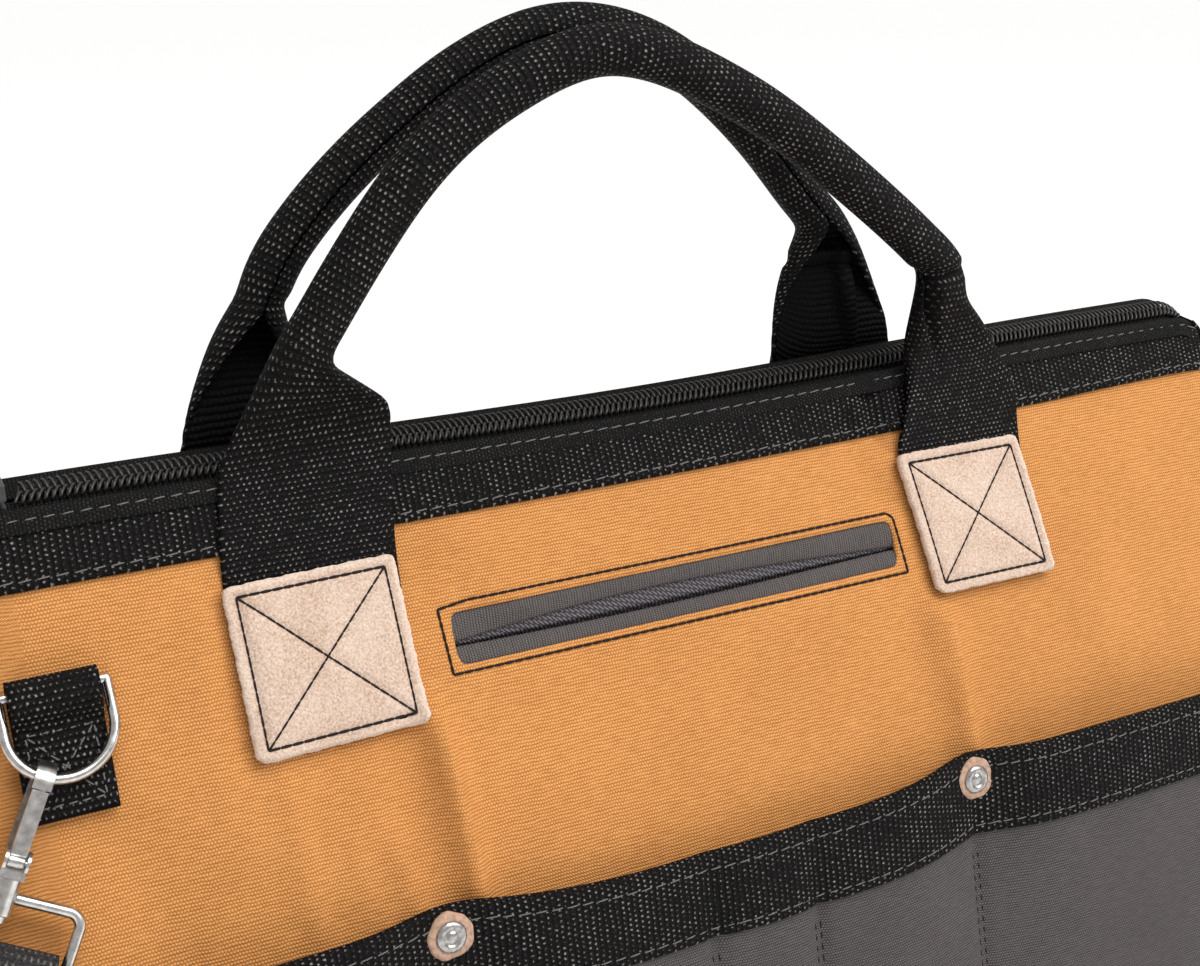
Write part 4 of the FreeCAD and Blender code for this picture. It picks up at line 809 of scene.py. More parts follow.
# %% Handles
STRIP = 50.8 * MM
STRIP_THICK = 1.8 * MM
STRIP_HALF = STRIP / 2
TUBE_RADIUS = 7.6 * MM
TUBE_CLOSED = 0.985 * np.pi
TUBE_DEPTH = 14.2
STRIP_STEPS = 49
WEB_END = 82 * MM
WEB_FACE, WEB_CLIMB, CLIMB_FROM, CLIMB_LONG = 2.3 * MM, 1.9 * MM, 27 * MM, 6 * MM
FOLD_DEEP, FOLD_ASIDE, FOLD_FROM_END, FOLD_WIDE, FOLD_LONG = 5.4 * MM, 8 * MM, 101.5 * MM, 1.7 * MM, 15 * MM
KINK_DEEP, KINK_FROM_END, KINK_WIDE = 4.2 * MM, 112.5 * MM, 1.9 * MM
ROW_BEND, BEND_FROM_END, BEND_ASIDE, BEND_LONG = 0.02 / MM, 86.5 * MM, 4 * MM, 18 * MM
SEWN_ROWS, SEWN_REACH, SEWN_FADE = 0.38, 80.5 * MM, 18 * MM
STRIP_STEP = 1.6 * MM
STRIP_FINE = 1600


def smooth_path(points, count):
    """A cubic B-spline: each point a weighted mean of four neighbours, with both ends held in place."""
    p = np.asarray(points, float)
    p = np.concatenate([2 * p[:1] - p[1:2], p, 2 * p[-1:] - p[-2:-1]])
    t = np.linspace(0, len(p) - 3 - 1e-9, count)
    i = t.astype(int)
    f = (t - i)[:, None]
    return ((1 - f) ** 3 * p[i] + (3 * f ** 3 - 6 * f ** 2 + 4) * p[i + 1]
            + (-3 * f ** 3 + 3 * f ** 2 + 3 * f + 1) * p[i + 2] + f ** 3 * p[i + 3]) / 6


def web_out(s):
    """Height of the sewn strip's face above the wall: it climbs over the top binding."""
    return WEB_FACE + WEB_CLIMB * ease((CLIMB_FROM - s) / CLIMB_LONG)


def tube_rows(centres, depth):
    """Edges of the rolled part: a radius to either side of its middle line, square to the line."""
    line = np.array(centres, float)
    ahead = unit(np.gradient(line, axis=0))
    across = np.stack([ahead[:, 1], -ahead[:, 0]], -1) * TUBE_RADIUS / MM
    return np.concatenate([line - across, line + across, np.full((len(line), 1), depth)], -1)


def fold_round(half):
    """Radius of the rounds in which the sides turn back: what the shown half leaves over, shared out."""
    return np.clip((STRIP_HALF - half) / (np.pi - 1), 0.05 * MM, half)


def wall_rows(middle, s, half, side, heading):
    """Rows of the sewn part: the middle on the wall, the way to its right edge, half its width, and out."""
    middle, s, half = np.array(middle) * MM, np.array(s) * MM, np.array(half) * MM
    centre = wall_point(side * middle, s, web_out(s) + fold_round(half), side)
    right = np.tile([heading, 0.0, 0], (len(s), 1))
    out = np.tile([0, -side * math.cos(LEAN_UPPER), math.sin(LEAN_UPPER)], (len(s), 1))
    return np.concatenate([centre, right, half[:, None], out], -1)


def free_rows(edges, side):
    """The same rows for the free part, from its left edge, right edge and depth in millimetres."""
    edges = np.array(edges, float) * MM
    left, right, depth = edges[:, 0:2], edges[:, 2:4], edges[:, 4]
    middle = (left + right) / 2
    centre = np.stack([middle[:, 0], -side * depth, middle[:, 1]], -1)
    across = unit(right - left)
    aside = np.stack([across[:, 0], np.zeros(len(edges)), across[:, 1]], -1)
    out = np.tile([0.0, -side, 0], (len(edges), 1))
    return np.concatenate([centre, aside, np.linalg.norm(right - left, axis=1)[:, None] / 2, out], -1)


def rolled_strip(rows, side):
    """A strip of constant width whose sides fold back in rounds, until they meet behind it as a tube.

    In a row that shows a half width h, the strip is flat out to h - r and then turns back in a half
    circle of radius r; r is (half the strip - h) / (pi - 1), so that the two use the strip up. What
    is left over is tucked in toward the circle's middle. On the last free part one fold runs along the
    strip and a kink crosses it, and the woven rows there bend with the fold. The rows of the sewn ends lie
    closer than those of the free part, which is stretched round the hand.
    """
    fine = smooth_path(rows, STRIP_FINE)
    run = running_length(fine[:, :3])
    length = np.linspace(0, run[-1], int(run[-1] / STRIP_STEP))
    fine = at_lengths(length, run, fine)
    path, aside, out = fine[:, :3], unit(fine[:, 3:6]) * -side, unit(fine[:, 7:])
    half = np.minimum(fine[:, 6:7], STRIP_HALF)
    radius = fold_round(half)
    w = np.linspace(-STRIP_HALF, STRIP_HALF, STRIP_STEPS)[None, :]
    past = np.maximum(np.abs(w) - (half - radius), 0)
    turn = np.minimum(past / radius, TUBE_CLOSED)
    tucked = radius - np.maximum(past - TUBE_CLOSED * radius, 0)
    across = np.sign(w) * (np.minimum(np.abs(w), half - radius) + tucked * np.sin(turn))
    from_end = (run[-1] - length)[:, None]
    fold_far = ((from_end - FOLD_FROM_END) / FOLD_LONG) ** 2
    fold = FOLD_DEEP * np.exp(-((w + FOLD_ASIDE) / FOLD_WIDE) ** 2 - fold_far)
    kink = KINK_DEEP * np.exp(-((from_end - KINK_FROM_END) / KINK_WIDE) ** 2)
    fold = fold + kink * np.cos(np.minimum(turn, np.pi / 2))
    high = tucked * np.cos(turn) - fold
    grid = path[:, None] + aside[:, None] * across[..., None] + out[:, None] * high[..., None]
    bend_near = np.exp(-((from_end - BEND_FROM_END) / BEND_LONG) ** 2)
    bend = ROW_BEND * np.maximum(w - BEND_ASIDE, 0) ** 2 * bend_near
    sewn = ease((SEWN_REACH - np.minimum(length, run[-1] - length)) / SEWN_FADE + 0.5)
    woven_length = np.cumsum((1 + SEWN_ROWS * sewn) * (length[1] - length[0]))
    uv = stacked(w, woven_length[:, None] + bend)
    return grid, uv, length


# rows of the free parts: left edge x, z, right edge x, z, depth from the bag's middle, all in millimetres
FRONT_RISE = [(-139, 280.2, -87.9, 280.7, 12.4), (-137.3, 286.5, -87.9, 287.1, 12.6),
              (-135.6, 289.6, -88.1, 290.6, 12.9), (-133.9, 292.6, -89, 293.5, 13.3),
              (-131.6, 296.7, -91.2, 295.9, 13.7), (-128.1, 302.8, -95.9, 299.8, 14.2),
              (-123.4, 311.1, -101.8, 304.7, 14.6), (-119.4, 317.6, -107, 308.6, 14.5)]
FRONT_TUBE = [(-109, 318.8), (-104.5, 325.4), (-96.8, 336.4), (-83.2, 354.5), (-70.6, 367), (-57.9, 376),
              (-45.2, 382.6), (-32.4, 388), (-19.6, 390.6), (-6.4, 389), (7.1, 384.3), (21.1, 377.4),
              (35.5, 369.6), (50.6, 359.3), (66.4, 347.5), (82.9, 334.6), (95.3, 324.4), (101.9, 318.5)]
FRONT_FALL = [(114.9, 316.3, 99, 312.2, 14.4), (117, 313, 100.4, 310, 15),
              (117, 309.3, 100.8, 307.2, 15.4), (117.4, 304.9, 100.4, 303.8, 15.6),
              (119.2, 299.8, 99.6, 298.4, 15.3), (124.2, 294.7, 98.8, 293.4, 14.6),
              (131, 287.6, 98.1, 287, 13.4), (136.4, 279.5, 97.8, 280.4, 12.8)]
BACK_RISE = [(-145, 279.1, -94.4, 280, 12.2), (-143, 286.5, -95.4, 286.6, 12.4),
             (-140.5, 293.7, -98.4, 292.8, 12.8), (-137.4, 300.7, -102.6, 299, 13.4),
             (-134, 307.7, -106.6, 305.4, 14), (-131, 312.6, -109, 311.2, 14.3),
             (-127.6, 317.4, -109.6, 315.4, 14.5), (-124.2, 321.6, -110.6, 319.4, 14.5)]
BACK_TUBE = [(-115, 324.8), (-113.2, 328.6), (-110.4, 333.2), (-106.4, 338.6), (-96.2, 349.8),
             (-82.6, 361.8), (-69.7, 371.2), (-57, 380), (-44.3, 386.6), (-31.5, 391.5), (-18.5, 393.6),
             (-5, 392.6), (8.8, 388.5), (23.1, 381), (38.1, 369), (53.8, 353.8), (64.2, 341.2),
             (70.8, 333.4), (75, 329.2)]
BACK_FALL = [(86.4, 328.2, 71.4, 321, 14.4), (89.6, 323.8, 70.4, 318.6, 14.6),
             (92.8, 319, 68.8, 315.6, 14.6), (95.8, 313.9, 67, 312.5, 14.6),
             (100.5, 304.5, 64, 305.5, 14.4), (104.1, 296.2, 61.9, 298.4, 13.8),
             (107.5, 288.7, 60.6, 290, 13), (110.2, 280.1, 60.2, 282, 12.4)]
# rows of the sewn ends: distances down the wall, and half widths, a little less under the patch
SEWN = (79.5, 66, 48, 30, 22, 14, 6)
FULL = (24.9, 24.9, 25.2, 25.4, 25.4, 25.4, 25.4)
NARROWING = (24.9, 24.9, 25, 25.4, 25, 23.4, 21)
# where the middle of each sewn end lies, for the same distances down the wall
FRONT_LEFT = (-118.8, -118.8, -118.8, -118.4, -117.6, -116.6, -115.4)
FRONT_RIGHT = (118.3, 116.9, 115.1, 116, 117.4, 119, 118.6)
BACK_LEFT = (-119.3, -120.3, -121.2, -120.8, -120.4, -120.2, -120)
BACK_RIGHT = (86.2, 87, 87.3, 86.6, 86, 85.6, 85.3)
HANDLES = {
    "front": [wall_rows(FRONT_LEFT, SEWN, FULL, 1, 1), free_rows(FRONT_RISE, 1),
              free_rows(tube_rows(FRONT_TUBE, TUBE_DEPTH), 1), free_rows(FRONT_FALL, 1),
              wall_rows(FRONT_RIGHT[::-1], SEWN[::-1], NARROWING[::-1], 1, -1)],
    "back": [wall_rows(BACK_LEFT, SEWN, FULL, -1, 1), free_rows(BACK_RISE, -1),
             free_rows(tube_rows(BACK_TUBE, TUBE_DEPTH), -1), free_rows(BACK_FALL, -1),
             wall_rows(BACK_RIGHT[::-1], SEWN[::-1], FULL, -1, -1)]}
for (name, rows), side in zip(HANDLES.items(), (1, -1)):
    grid, uv, length = rolled_strip(np.concatenate(rows), side)
    strip = put_piece(name + "_handle_strip", [cloth(grid, uv, STRIP_THICK)], handle_webbing,
                      None, (name + "_handle_grip", name + "_left_web_end", name + "_right_web_end"))
    # the faces of the strip's back side take the darker copy: painted shade inside the tube and under the
    # flares
    strip.data.materials.append(shaded_inner_webbing)
    around = np.arange(len(strip.data.polygons)) % (2 * STRIP_STEPS + 2)
    inside = (around >= STRIP_STEPS) & (around < 2 * STRIP_STEPS + 1)
    strip.data.polygons.foreach_set("material_index", inside.astype(np.int32))
    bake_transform(strip)
    print(name, "handle strip", round(length[-1] / MM), "mm long")

# %% [markdown]
# Suede patches cover the sewn ends of the handles. Each is a cut square, so its corners are only slightly
# rounded and its edge is a little ragged. The stitching, a box with a cross in it, pulls the soft leather
# down into a groove, so the groove is part of the surface and the thread lies in it.

# %% Suede patches
PATCH_THICK = 1.9 * MM
PATCH_ROUND = 0.11
BOX_INSET = 3.5 * MM
BOX_GROOVE, BOX_GROOVE_HALF = 0.7 * MM, 1.2 * MM
RIM_FALL, RIM_FROM = 0.6 * MM, 0.94
PATCH_STEPS = 61
PALE_FROM, PALE_RATE = 23.5 * MM, 0.06 / MM
# each patch: its middle along and down the wall, its width and height, all in millimetres, its turn in
# degrees, its slant, and its side of the bag
PATCHES = {"front_left_patch": (-119.1, 56.9, 52, 51.4, 1.0, 0.0, 1),
           "front_right_patch": (115.9, 56.1, 50.5, 49.8, -0.8, 0.11, 1),
           "back_left_patch": (-87.5, 56.8, 52, 50.6, 1.5, 0.03, -1),
           "back_right_patch": (121, 56.8, 52, 51, -1.2, -0.05, -1)}


def patch_material():
    """Suede: pale nap with fine grain, soft darker rubbing, paler fibres along the cut edge, and a sheen."""
    material, tree, shader = new_material("suede")
    nap = clouds(tree, 0.7 * MM, 4.0)
    rub = clouds(tree, 14 * MM, 3.0)
    along, across = cloth_axes(tree)
    reach = sums(tree, "MAXIMUM", sums(tree, "ABSOLUTE", along), sums(tree, "ABSOLUTE", across))
    past = sums(tree, "MAXIMUM", sums(tree, "SUBTRACT", reach, PALE_FROM), 0.0)
    rim = sums(tree, "MULTIPLY", past, PALE_RATE)
    tone = sums(tree, "MULTIPLY_ADD", nap, 0.75, sums(tree, "MULTIPLY_ADD", rub, 0.25, rim))
    colour = tinted(tree, tone, (0.3, (0.42, 0.27, 0.19)), (0.5, (0.64, 0.475, 0.37)),
                    (0.7, (0.8, 0.65, 0.54)))
    tree.links.new(colour, shader.inputs["Base Color"])
    shader.inputs["Roughness"].default_value = 0.95
    shader.inputs["Specular IOR Level"].default_value = 0.15
    shader.inputs["Sheen Weight"].default_value = 0.2
    raised(tree, shader, nap, 0.35 * MM)
    return material


suede = patch_material()


def box_and_cross(x, y, half_x, half_y):
    """Distance from the stitching: the nearer of the square outline and the two diagonals inside it."""
    u, v = np.abs(x) / half_x, np.abs(y) / half_y
    outline = np.abs(np.maximum(u, v) - 1) * half_x
    cross = np.where(np.maximum(u, v) < 1, np.abs(u - v) * half_x / math.sqrt(2), 1.0)
    return np.minimum(outline, cross)


def patch_out(s, x, y, wide, tall):
    """Height of the patch's face: over the strip, dropping past its end, less the groove of the stitching."""
    under = web_out(s) * ease((WEB_END + 2.5 * MM - s) / (3 * MM))
    half_x, half_y = wide / 2 - BOX_INSET, tall / 2 - BOX_INSET
    groove = BOX_GROOVE * np.exp(-(box_and_cross(x, y, half_x, half_y) / BOX_GROOVE_HALF) ** 2)
    rim = np.maximum(np.abs(x) / wide, np.abs(y) / tall) * 2
    return under + PATCH_THICK - groove - RIM_FALL * ease((rim - RIM_FROM) / 0.06)


def patch_place(name, x, y):
    """From the patch's own x and y to the wall's x and s: slanted, as it was cut, and turned a little."""
    middle, down, _, _, degrees, slant, side = PATCHES[name]
    turn = math.radians(degrees)
    x = x + slant * y
    return (middle * MM + x * math.cos(turn) + y * math.sin(turn),
            down * MM - x * math.sin(turn) + y * math.cos(turn), side)


u = np.linspace(-1, 1, PATCH_STEPS)
patch_u, patch_v = np.meshgrid(u, u)
square = np.stack([patch_u, patch_v], -1)
inner = np.clip(square, PATCH_ROUND - 1, 1 - PATCH_ROUND)
corner = square - inner
reach = np.abs(corner).max(-1, keepdims=True)
rounded = inner + unit(corner) * reach
for name in PATCHES:
    wide, tall = PATCHES[name][2] * MM, PATCHES[name][3] * MM
    angle = np.arctan2(patch_v, patch_u)
    ragged = (0.004 * np.sin(19 * angle + len(name)) + 0.003 * np.sin(37 * angle)
              + 0.003 * np.sin(71 * angle))
    scale = 1 + ragged * np.maximum(np.abs(patch_u), np.abs(patch_v)) ** 12
    x, y = rounded[..., 0] * wide / 2 * scale, rounded[..., 1] * tall / 2 * scale
    wx, ws, side = patch_place(name, x, y)
    face = patch_out(ws, x, y, wide, tall)
    patch = cloth(wall_point(wx, ws, face, side), np.stack([x, y], -1), PATCH_THICK, 0.05,
                  wall_point(wx, ws, face - PATCH_THICK, side))
    put_piece(name + "_suede", [patch], suede, "bag", (name,))
    half_x, half_y = wide / 2 - BOX_INSET, tall / 2 - BOX_INSET
    box = np.array([(-1, -1), (1, -1), (1, 1), (-1, 1), (-1, -1), (1, 1)]) * (half_x, half_y)
    other = np.array([(1, -1), (-1, 1)]) * (half_x, half_y)
    lines = (box[:2], box[1:3], box[2:4], box[3:5], box[4:], other)
    for line, thick in zip(lines, (0.46, 0.34, 0.46, 0.34, 0.34, 0.34)):
        spots = even_points(line.astype(float), 1 * MM)
        wx, ws, side = patch_place(name, spots[:, 0], spots[:, 1])
        height = patch_out(ws, spots[:, 0], spots[:, 1], wide, tall) + 0.22 * MM
        path = wall_point(wx, ws, height, side)
        lift = wall_point(wx, ws, height + NORMAL_STEP, side) - path
        sew(path, lift, 3.4 * MM, -0.25 * MM, thick * MM, "black")
print("four patches with boxed crosses")

# %% [markdown]
# The slit pocket high on the front has two welts, lips of folded grey canvas that meet in the slot. The dark
# twill of the pouch shows between them under the upper one. Each lip is a strip rolled back on itself at the
# slit, with an edge that bows as slack cloth does, and black stitching boxes the slot on the canvas.

# %% Slit pocket
LIP_SUNK, LIP_CROWN, LIP_CLOTH, LIP_ROLL = 1.2 * MM, 0.9 * MM, 0.9 * MM, 0.9 * MM
LIP_OVER = 3 * MM
lip_x = np.linspace(SLOT_LEFT - LIP_OVER, SLOT_RIGHT + LIP_OVER, 110)


def lip(edge, back, thick, roll, bow):
    """A folded lip: from under the canvas to its edge, round it, and back under; the edge bows along x."""
    turn = np.linspace(-np.pi / 2, np.pi / 2, 9)
    toward = np.sign(edge - back)
    s = np.concatenate([np.linspace(back, edge - toward * roll, 8),
                        edge - toward * roll * (1 - np.cos(turn[1:-1])),
                        np.linspace(edge - toward * roll, back, 6)])
    out = np.concatenate([np.full(8, -LIP_SUNK), -LIP_SUNK - roll + roll * -np.sin(turn[1:-1]),
                          np.full(6, -LIP_SUNK - 2 * roll)])
    share = np.clip((s - back) / (edge - back), 0, 1)
    place = s[None, :] + bow[:, None] * share[None, :]
    crown = LIP_CROWN * np.sin(np.pi * np.clip(share, 0, 1))[None, :] * (out > -1.3 * MM)[None, :]
    grid = wall_point(lip_x[:, None], place, out[None, :] + crown)
    uv = stacked(s[None, :], lip_x[:, None])
    return cloth(grid if toward < 0 else grid[::-1], uv if toward < 0 else uv[::-1], thick)


lip_part = (lip_x - lip_x[0]) / (lip_x[-1] - lip_x[0])
gap_bow = 4.2 * MM * np.sin(np.pi * lip_part ** 0.85) ** 1.2
# each lip: its edge and its back, as distances down the wall in millimetres, and the share of the bow
for half, edge, back, share in (("upper", 61.6, 50.2, -1), ("lower", 62.5, 70.4, 0.3)):
    welt = lip(edge * MM, back * MM, LIP_CLOTH, LIP_ROLL, share * gap_bow)
    put_piece("slit_%s_welt" % half, [welt], lip_canvas, "bag", ("slit_%s_lip" % half,))
pouch_s = np.concatenate([np.linspace(54, 61.4, 12), np.linspace(61.8, 71, 12)]) * MM
fold_edge = 62.3 * MM + 0.12 * gap_bow
tuck = ease((pouch_s[None, :] - fold_edge[:, None]) / (1.3 * MM) + 0.5)
pouch_grid = wall_point(lip_x[:, None], pouch_s[None, :], -2.3 * MM - 3.2 * MM * tuck)
pouch_uv = stacked(lip_x[:, None] + pouch_s[None, :], pouch_s[None, :] - lip_x[:, None])
pouch = cloth(pouch_grid[:, ::-1], pouch_uv[:, ::-1], LIP_CLOTH)
put_piece("slit_pouch_twill", [pouch], twill_lining, "bag", ("slit_pouch",))
frame_x = np.array([-82.5, -72.5, 81, 83, 84.6, -81.6, -82.5]) * MM
frame_s = np.array([50.4, 49.2, 49.8, 51.6, 71, 70.6, 50.4]) * MM
for k in range(6):
    sew_on(wall_point, frame_x[k:k + 2], frame_s[k:k + 2], 0.2 * MM, 1, "black", 3.3 * MM, -0.3 * MM,
           0.45 * MM)

# %% [markdown]
# The zipper is the coil kind: two nylon wires wound into flattened coils, sewn along the edges of two tapes,
# whose loops slip between each other. A coil is a helix, an angle that grows with the distance along the
# chain. The chain runs along the top and bends down over the right end of the bag, so the helix is carried
# along that line.

# %% Zipper chain
COIL_PITCH = 2.05 * MM
COIL_WIRE = 0.46 * MM
COIL_SLANT = {-1: 0.42, 1: 0.04}
CHAIN_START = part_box("front_zipper_teeth")[0].x
CHAIN_HEIGHT = 1.3 * MM
CHAIN_TILT = math.radians(18)
CHAIN_DROP = 84 * MM
WEB_START = 9.5 * MM
END_CENTRE = np.array([HALF_LENGTH - END_ROUND, 0, HEIGHT - END_ROUND])


def plain_material(name, colour, rough, metal=0.0, grain=None, bump=0.0, worn=None):
    """A plain finish with a little grain: the colour and gloss drift with two sizes of noise."""
    material, tree, shader = new_material(name)
    noise = clouds(tree, grain or 4 * MM, 4.0)
    tree.links.new(tinted(tree, noise, (0.3, tuple(c * 0.75 for c in colour)), (0.7, worn or colour)),
                   shader.inputs["Base Color"])
    tree.links.new(sums(tree, "MULTIPLY_ADD", noise, rough * 0.5, rough * 0.75), shader.inputs["Roughness"])
    shader.inputs["Metallic"].default_value = metal
    if bump:
        raised(tree, shader, noise, bump)
    return material


coil_nylon = plain_material("coil nylon", (0.036, 0.033, 0.031), 0.38, grain=3 * MM)


def chain_line(distance, height):
    """The chain's line and its up direction: along the top with its sag, round the end, then down."""
    flat = END_CENTRE[0] - CHAIN_START
    radius = END_ROUND + height
    bend = np.clip((distance - flat) / radius, 0, np.pi / 2)
    rest = np.maximum(distance - flat - radius * np.pi / 2, 0)
    x = np.where(distance < flat, CHAIN_START + distance, END_CENTRE[0] + radius * np.sin(bend))
    z = np.where(distance < flat, HEIGHT + height, END_CENTRE[2] + radius * np.cos(bend) - rest) - top_sag(x)
    up = np.stack([np.sin(bend), np.zeros_like(bend), np.cos(bend)], -1)
    return np.stack([x, np.zeros_like(x), z], -1), up


chain_length = END_CENTRE[0] - CHAIN_START + CHAIN_DROP
turns = np.linspace(0, chain_length, int(chain_length / COIL_PITCH * 14))
spine, spine_up = chain_line(turns, CHAIN_HEIGHT)
sideways = np.array([0.0, 1, 0])
spine_along = np.cross(sideways, spine_up)
for side, node in ((-1, "front_zipper_teeth"), (1, "back_zipper_teeth")):
    wind = 2 * np.pi * turns / COIL_PITCH + (side > 0) * np.pi
    wide = side * (2.15 + 2.1 * np.cos(wind)) * MM
    tall = 1.0 * MM * np.sin(wind)
    level = wide * math.cos(CHAIN_TILT) - tall * math.sin(CHAIN_TILT)
    rise = wide * math.sin(CHAIN_TILT) + tall * math.cos(CHAIN_TILT)
    wire = spine - spine_along * (COIL_SLANT[side] * np.abs(wide))[:, None] + sideways * level[:, None]
    wire = wire + spine_up * rise[:, None]
    along = unit(np.gradient(wire, axis=0))
    aside = unit(np.cross(along, spine_up))
    put_piece(node + "_coil", [tube(wire, aside * COIL_WIRE, np.cross(aside, along) * COIL_WIRE, turns, 7)],
              coil_nylon, "bag", (node,))

# section of each tape: distance from the bag's middle and height above the walls, in millimetres
FRONT_TAPE = [(1.0, -0.6), (3.2, -1.35), (5.2, -2.0), (6.4, -2.2), (7.1, -1.7), (7.8, -0.7), (8.8, 0.0),
              (9.9, 0.0), (10.7, -0.5), (11.2, -1.3), (12.0, -2.83), (12.84, -4.5), (13.3, -5.4)]
BACK_TAPE = [(1.0, 0.0), (3.2, 0.75), (5.4, 1.45), (6.7, 1.8), (7.4, 2.2), (8.2, 2.8), (9.3, 3.0),
             (10.3, 2.5), (11.0, 1.4), (11.7, -0.3), (12.4, -1.9), (13.2, -3.8), (13.6, -4.7)]
tape_flat, tape_over = HALF_LENGTH - END_ROUND, END_ROUND * 0.9
tape_run = np.linspace(0, 2 * tape_flat + 2 * tape_over, 200) - tape_flat - tape_over
tape_bend = np.clip(np.abs(tape_run) - tape_flat, 0, None) / END_ROUND * np.sign(tape_run)
for side, node, section in ((-1, "front_zipper_tape", FRONT_TAPE), (1, "back_zipper_tape", BACK_TAPE)):
    tape_line = smooth_path(np.array(section) * MM, 30)
    tape_across = running_length(tape_line)
    radius = END_ROUND + tape_line[None, :, 1]
    tape_x = np.clip(tape_run, -END_CENTRE[0], END_CENTRE[0])[:, None] + radius * np.sin(tape_bend)[:, None]
    tape_z = END_CENTRE[2] + radius * np.cos(tape_bend)[:, None] - top_sag(tape_run)[:, None]
    grid = stacked(tape_x, side * tape_line[None, :, 0], tape_z)
    uv = stacked(tape_across[None, :], tape_run[:, None])
    grid, uv = (grid, uv) if side > 0 else (grid[:, ::-1], uv[:, ::-1])
    put_piece(node + "_cloth", [cloth(grid, uv, 0.8 * MM)], zipper_tape, "bag", (node,))

end_along = np.linspace(END_CENTRE[0] - CHAIN_START + WEB_START, chain_length + 8 * MM, 60)
end_spine, end_up = chain_line(end_along, 1.2 * MM)
END_HALF, END_STITCH = 11.5, 9.6 * MM
end_wide = np.linspace(-END_HALF, END_HALF, 15) * MM
end_grid = end_spine[:, None] + sideways * end_wide[None, :, None]
end_grid = end_grid - end_up[:, None] * (0.5 * MM * (end_wide / (END_HALF * MM)) ** 2)[None, :, None]
end_uv = stacked(end_wide[None, :], end_along[:, None])
for sign, node in ((1, "right_zipper_end"), (-1, "left_zipper_end")):
    flip = np.array([sign, sign, 1])
    web = cloth(end_grid * flip, end_uv, 1.4 * MM)
    put_piece(node + "_web", [web], black_webbing, "bag", (node,))
    for beside in (-END_STITCH, END_STITCH):
        edge = (end_spine + sideways * beside + end_up * 0.1 * MM) * flip
        sew(edge, end_up * flip, STITCH, STITCH_GAP, STITCH_THICK, "grey")

# %% [markdown]
# Below each ring a short loop of webbing is folded round the ring's bar and sewn to the wall. Its section is
# a line that runs up the front, round the bar and down behind, carried across the loop's width.

# %% Ring loops
TAB_WIDE = 24 * MM
RING_X = -195 * MM
RING_S = 50 * MM
# each point of the section: distance down from the bar, and out from the wall, in millimetres
TAB_SECTION = [(34.5, 3.5), (24, 3.5), (15, 3.5), (11, 3.5), (8.6, 4.2), (7.0, 6.4), (4.2, 8.6),
               (0.4, 9.4), (-3.2, 8.3), (-4.9, 5.4), (-4.2, 2.6), (-1, 1.2), (6, 1.2), (20, 1.2),
               (34.5, 1.2)]
tab_line = smooth_path(np.array(TAB_SECTION) * MM, 70)
tab_across = np.linspace(-TAB_WIDE / 2, TAB_WIDE / 2, 13)
tab_length = running_length(tab_line)
for side, node in ((1, "front_ring_tab"), (-1, "back_ring_tab")):
    grid = wall_point(RING_X + tab_across[:, None], RING_S + tab_line[None, :, 0], tab_line[None, :, 1], side)
    uv = stacked(tab_across[:, None], tab_length[None, :])
    put_piece(node + "_loop", [cloth(grid, uv, 1.15 * MM)], black_webbing, "bag", (node,))
    box_x = RING_X + np.array([-9, 9, 9, -9, -9, 9, 9, -9]) * MM
    box_s = RING_S + np.array([11, 11, 31, 31, 11, 31, 11, 31]) * MM
    for k in (0, 1, 2, 3, 4, 6):
        sew_on(wall_point, box_x[k:k + 2], box_s[k:k + 2], 3.55 * MM, side, "grey", 3.6 * MM, 0.9 * MM)

# %% [markdown]
# Each pocket band is fixed by two tubular rivets with leather washers. Both are turned shapes: a profile of
# radius and height spun round the rivet's axis. The washer is a cut scrap of leather, so its radius wavers.

# %% Rivets and washers
RIVET_DOWN = 6.4 * MM
nickel = plain_material("nickel", (0.62, 0.6, 0.57), 0.22, metal=1.0, grain=2.5 * MM, worn=(0.8, 0.78, 0.75))
washer_leather = plain_material("washer leather", (0.44, 0.27, 0.18), 0.85, grain=1.4 * MM, bump=0.3 * MM,
                                worn=(0.6, 0.39, 0.28))
aged_nickel = plain_material("aged nickel", (0.4, 0.385, 0.37), 0.3, metal=1.0, grain=1.2 * MM,
                             worn=(0.62, 0.6, 0.58))
# each profile: radius and height above the band, in millimetres
RIVET_PROFILE = [(0.05, 2.9), (0.9, 2.85), (1.7, 2.65), (1.95, 2.3), (2.3, 2.3), (2.6, 2.75),
                 (3.4, 2.85), (4.2, 2.6), (4.7, 2.1), (4.8, 1.6), (4.5, 1.3), (3.0, 1.2), (2.6, -1.5),
                 (0.05, -1.5)]
WASHER_PROFILE = [(2.6, 1.5), (5.5, 1.75), (6.6, 1.6), (7.2, 1.1), (7.25, 0.5), (6.9, 0.05), (2.6, 0.0)]


def turned(profile, centre, axis, ragged=0.0, sides=40):
    """A profile spun round an axis; a ragged one has its outer radius wavered by three sines."""
    axis = np.array(axis)
    across = unit(np.cross(axis, [0, 0, 1.0]))
    upward = np.cross(across, axis)
    angle = np.linspace(0, 2 * np.pi, sides, endpoint=False)
    sines = np.sin(3 * angle + centre[0] * 90) + 0.7 * np.sin(5 * angle + 1) + 0.5 * np.sin(9 * angle)
    waver = 1 + ragged * sines
    line = np.array(profile) * MM
    spread = line[:, :1] * np.where(line[:, :1] > 4 * MM, waver[None, :], 1)
    ring = (centre + axis * line[:, 1][:, None, None] + across * (spread * np.cos(angle))[..., None]
            + upward * (spread * np.sin(angle))[..., None])
    uv = np.zeros((len(line), sides + 1, 2))
    quads = grid_quads(len(line), sides, wrap=True)
    return ring.reshape(-1, 3), quads, grid_corners(uv), end_faces(len(line), sides)


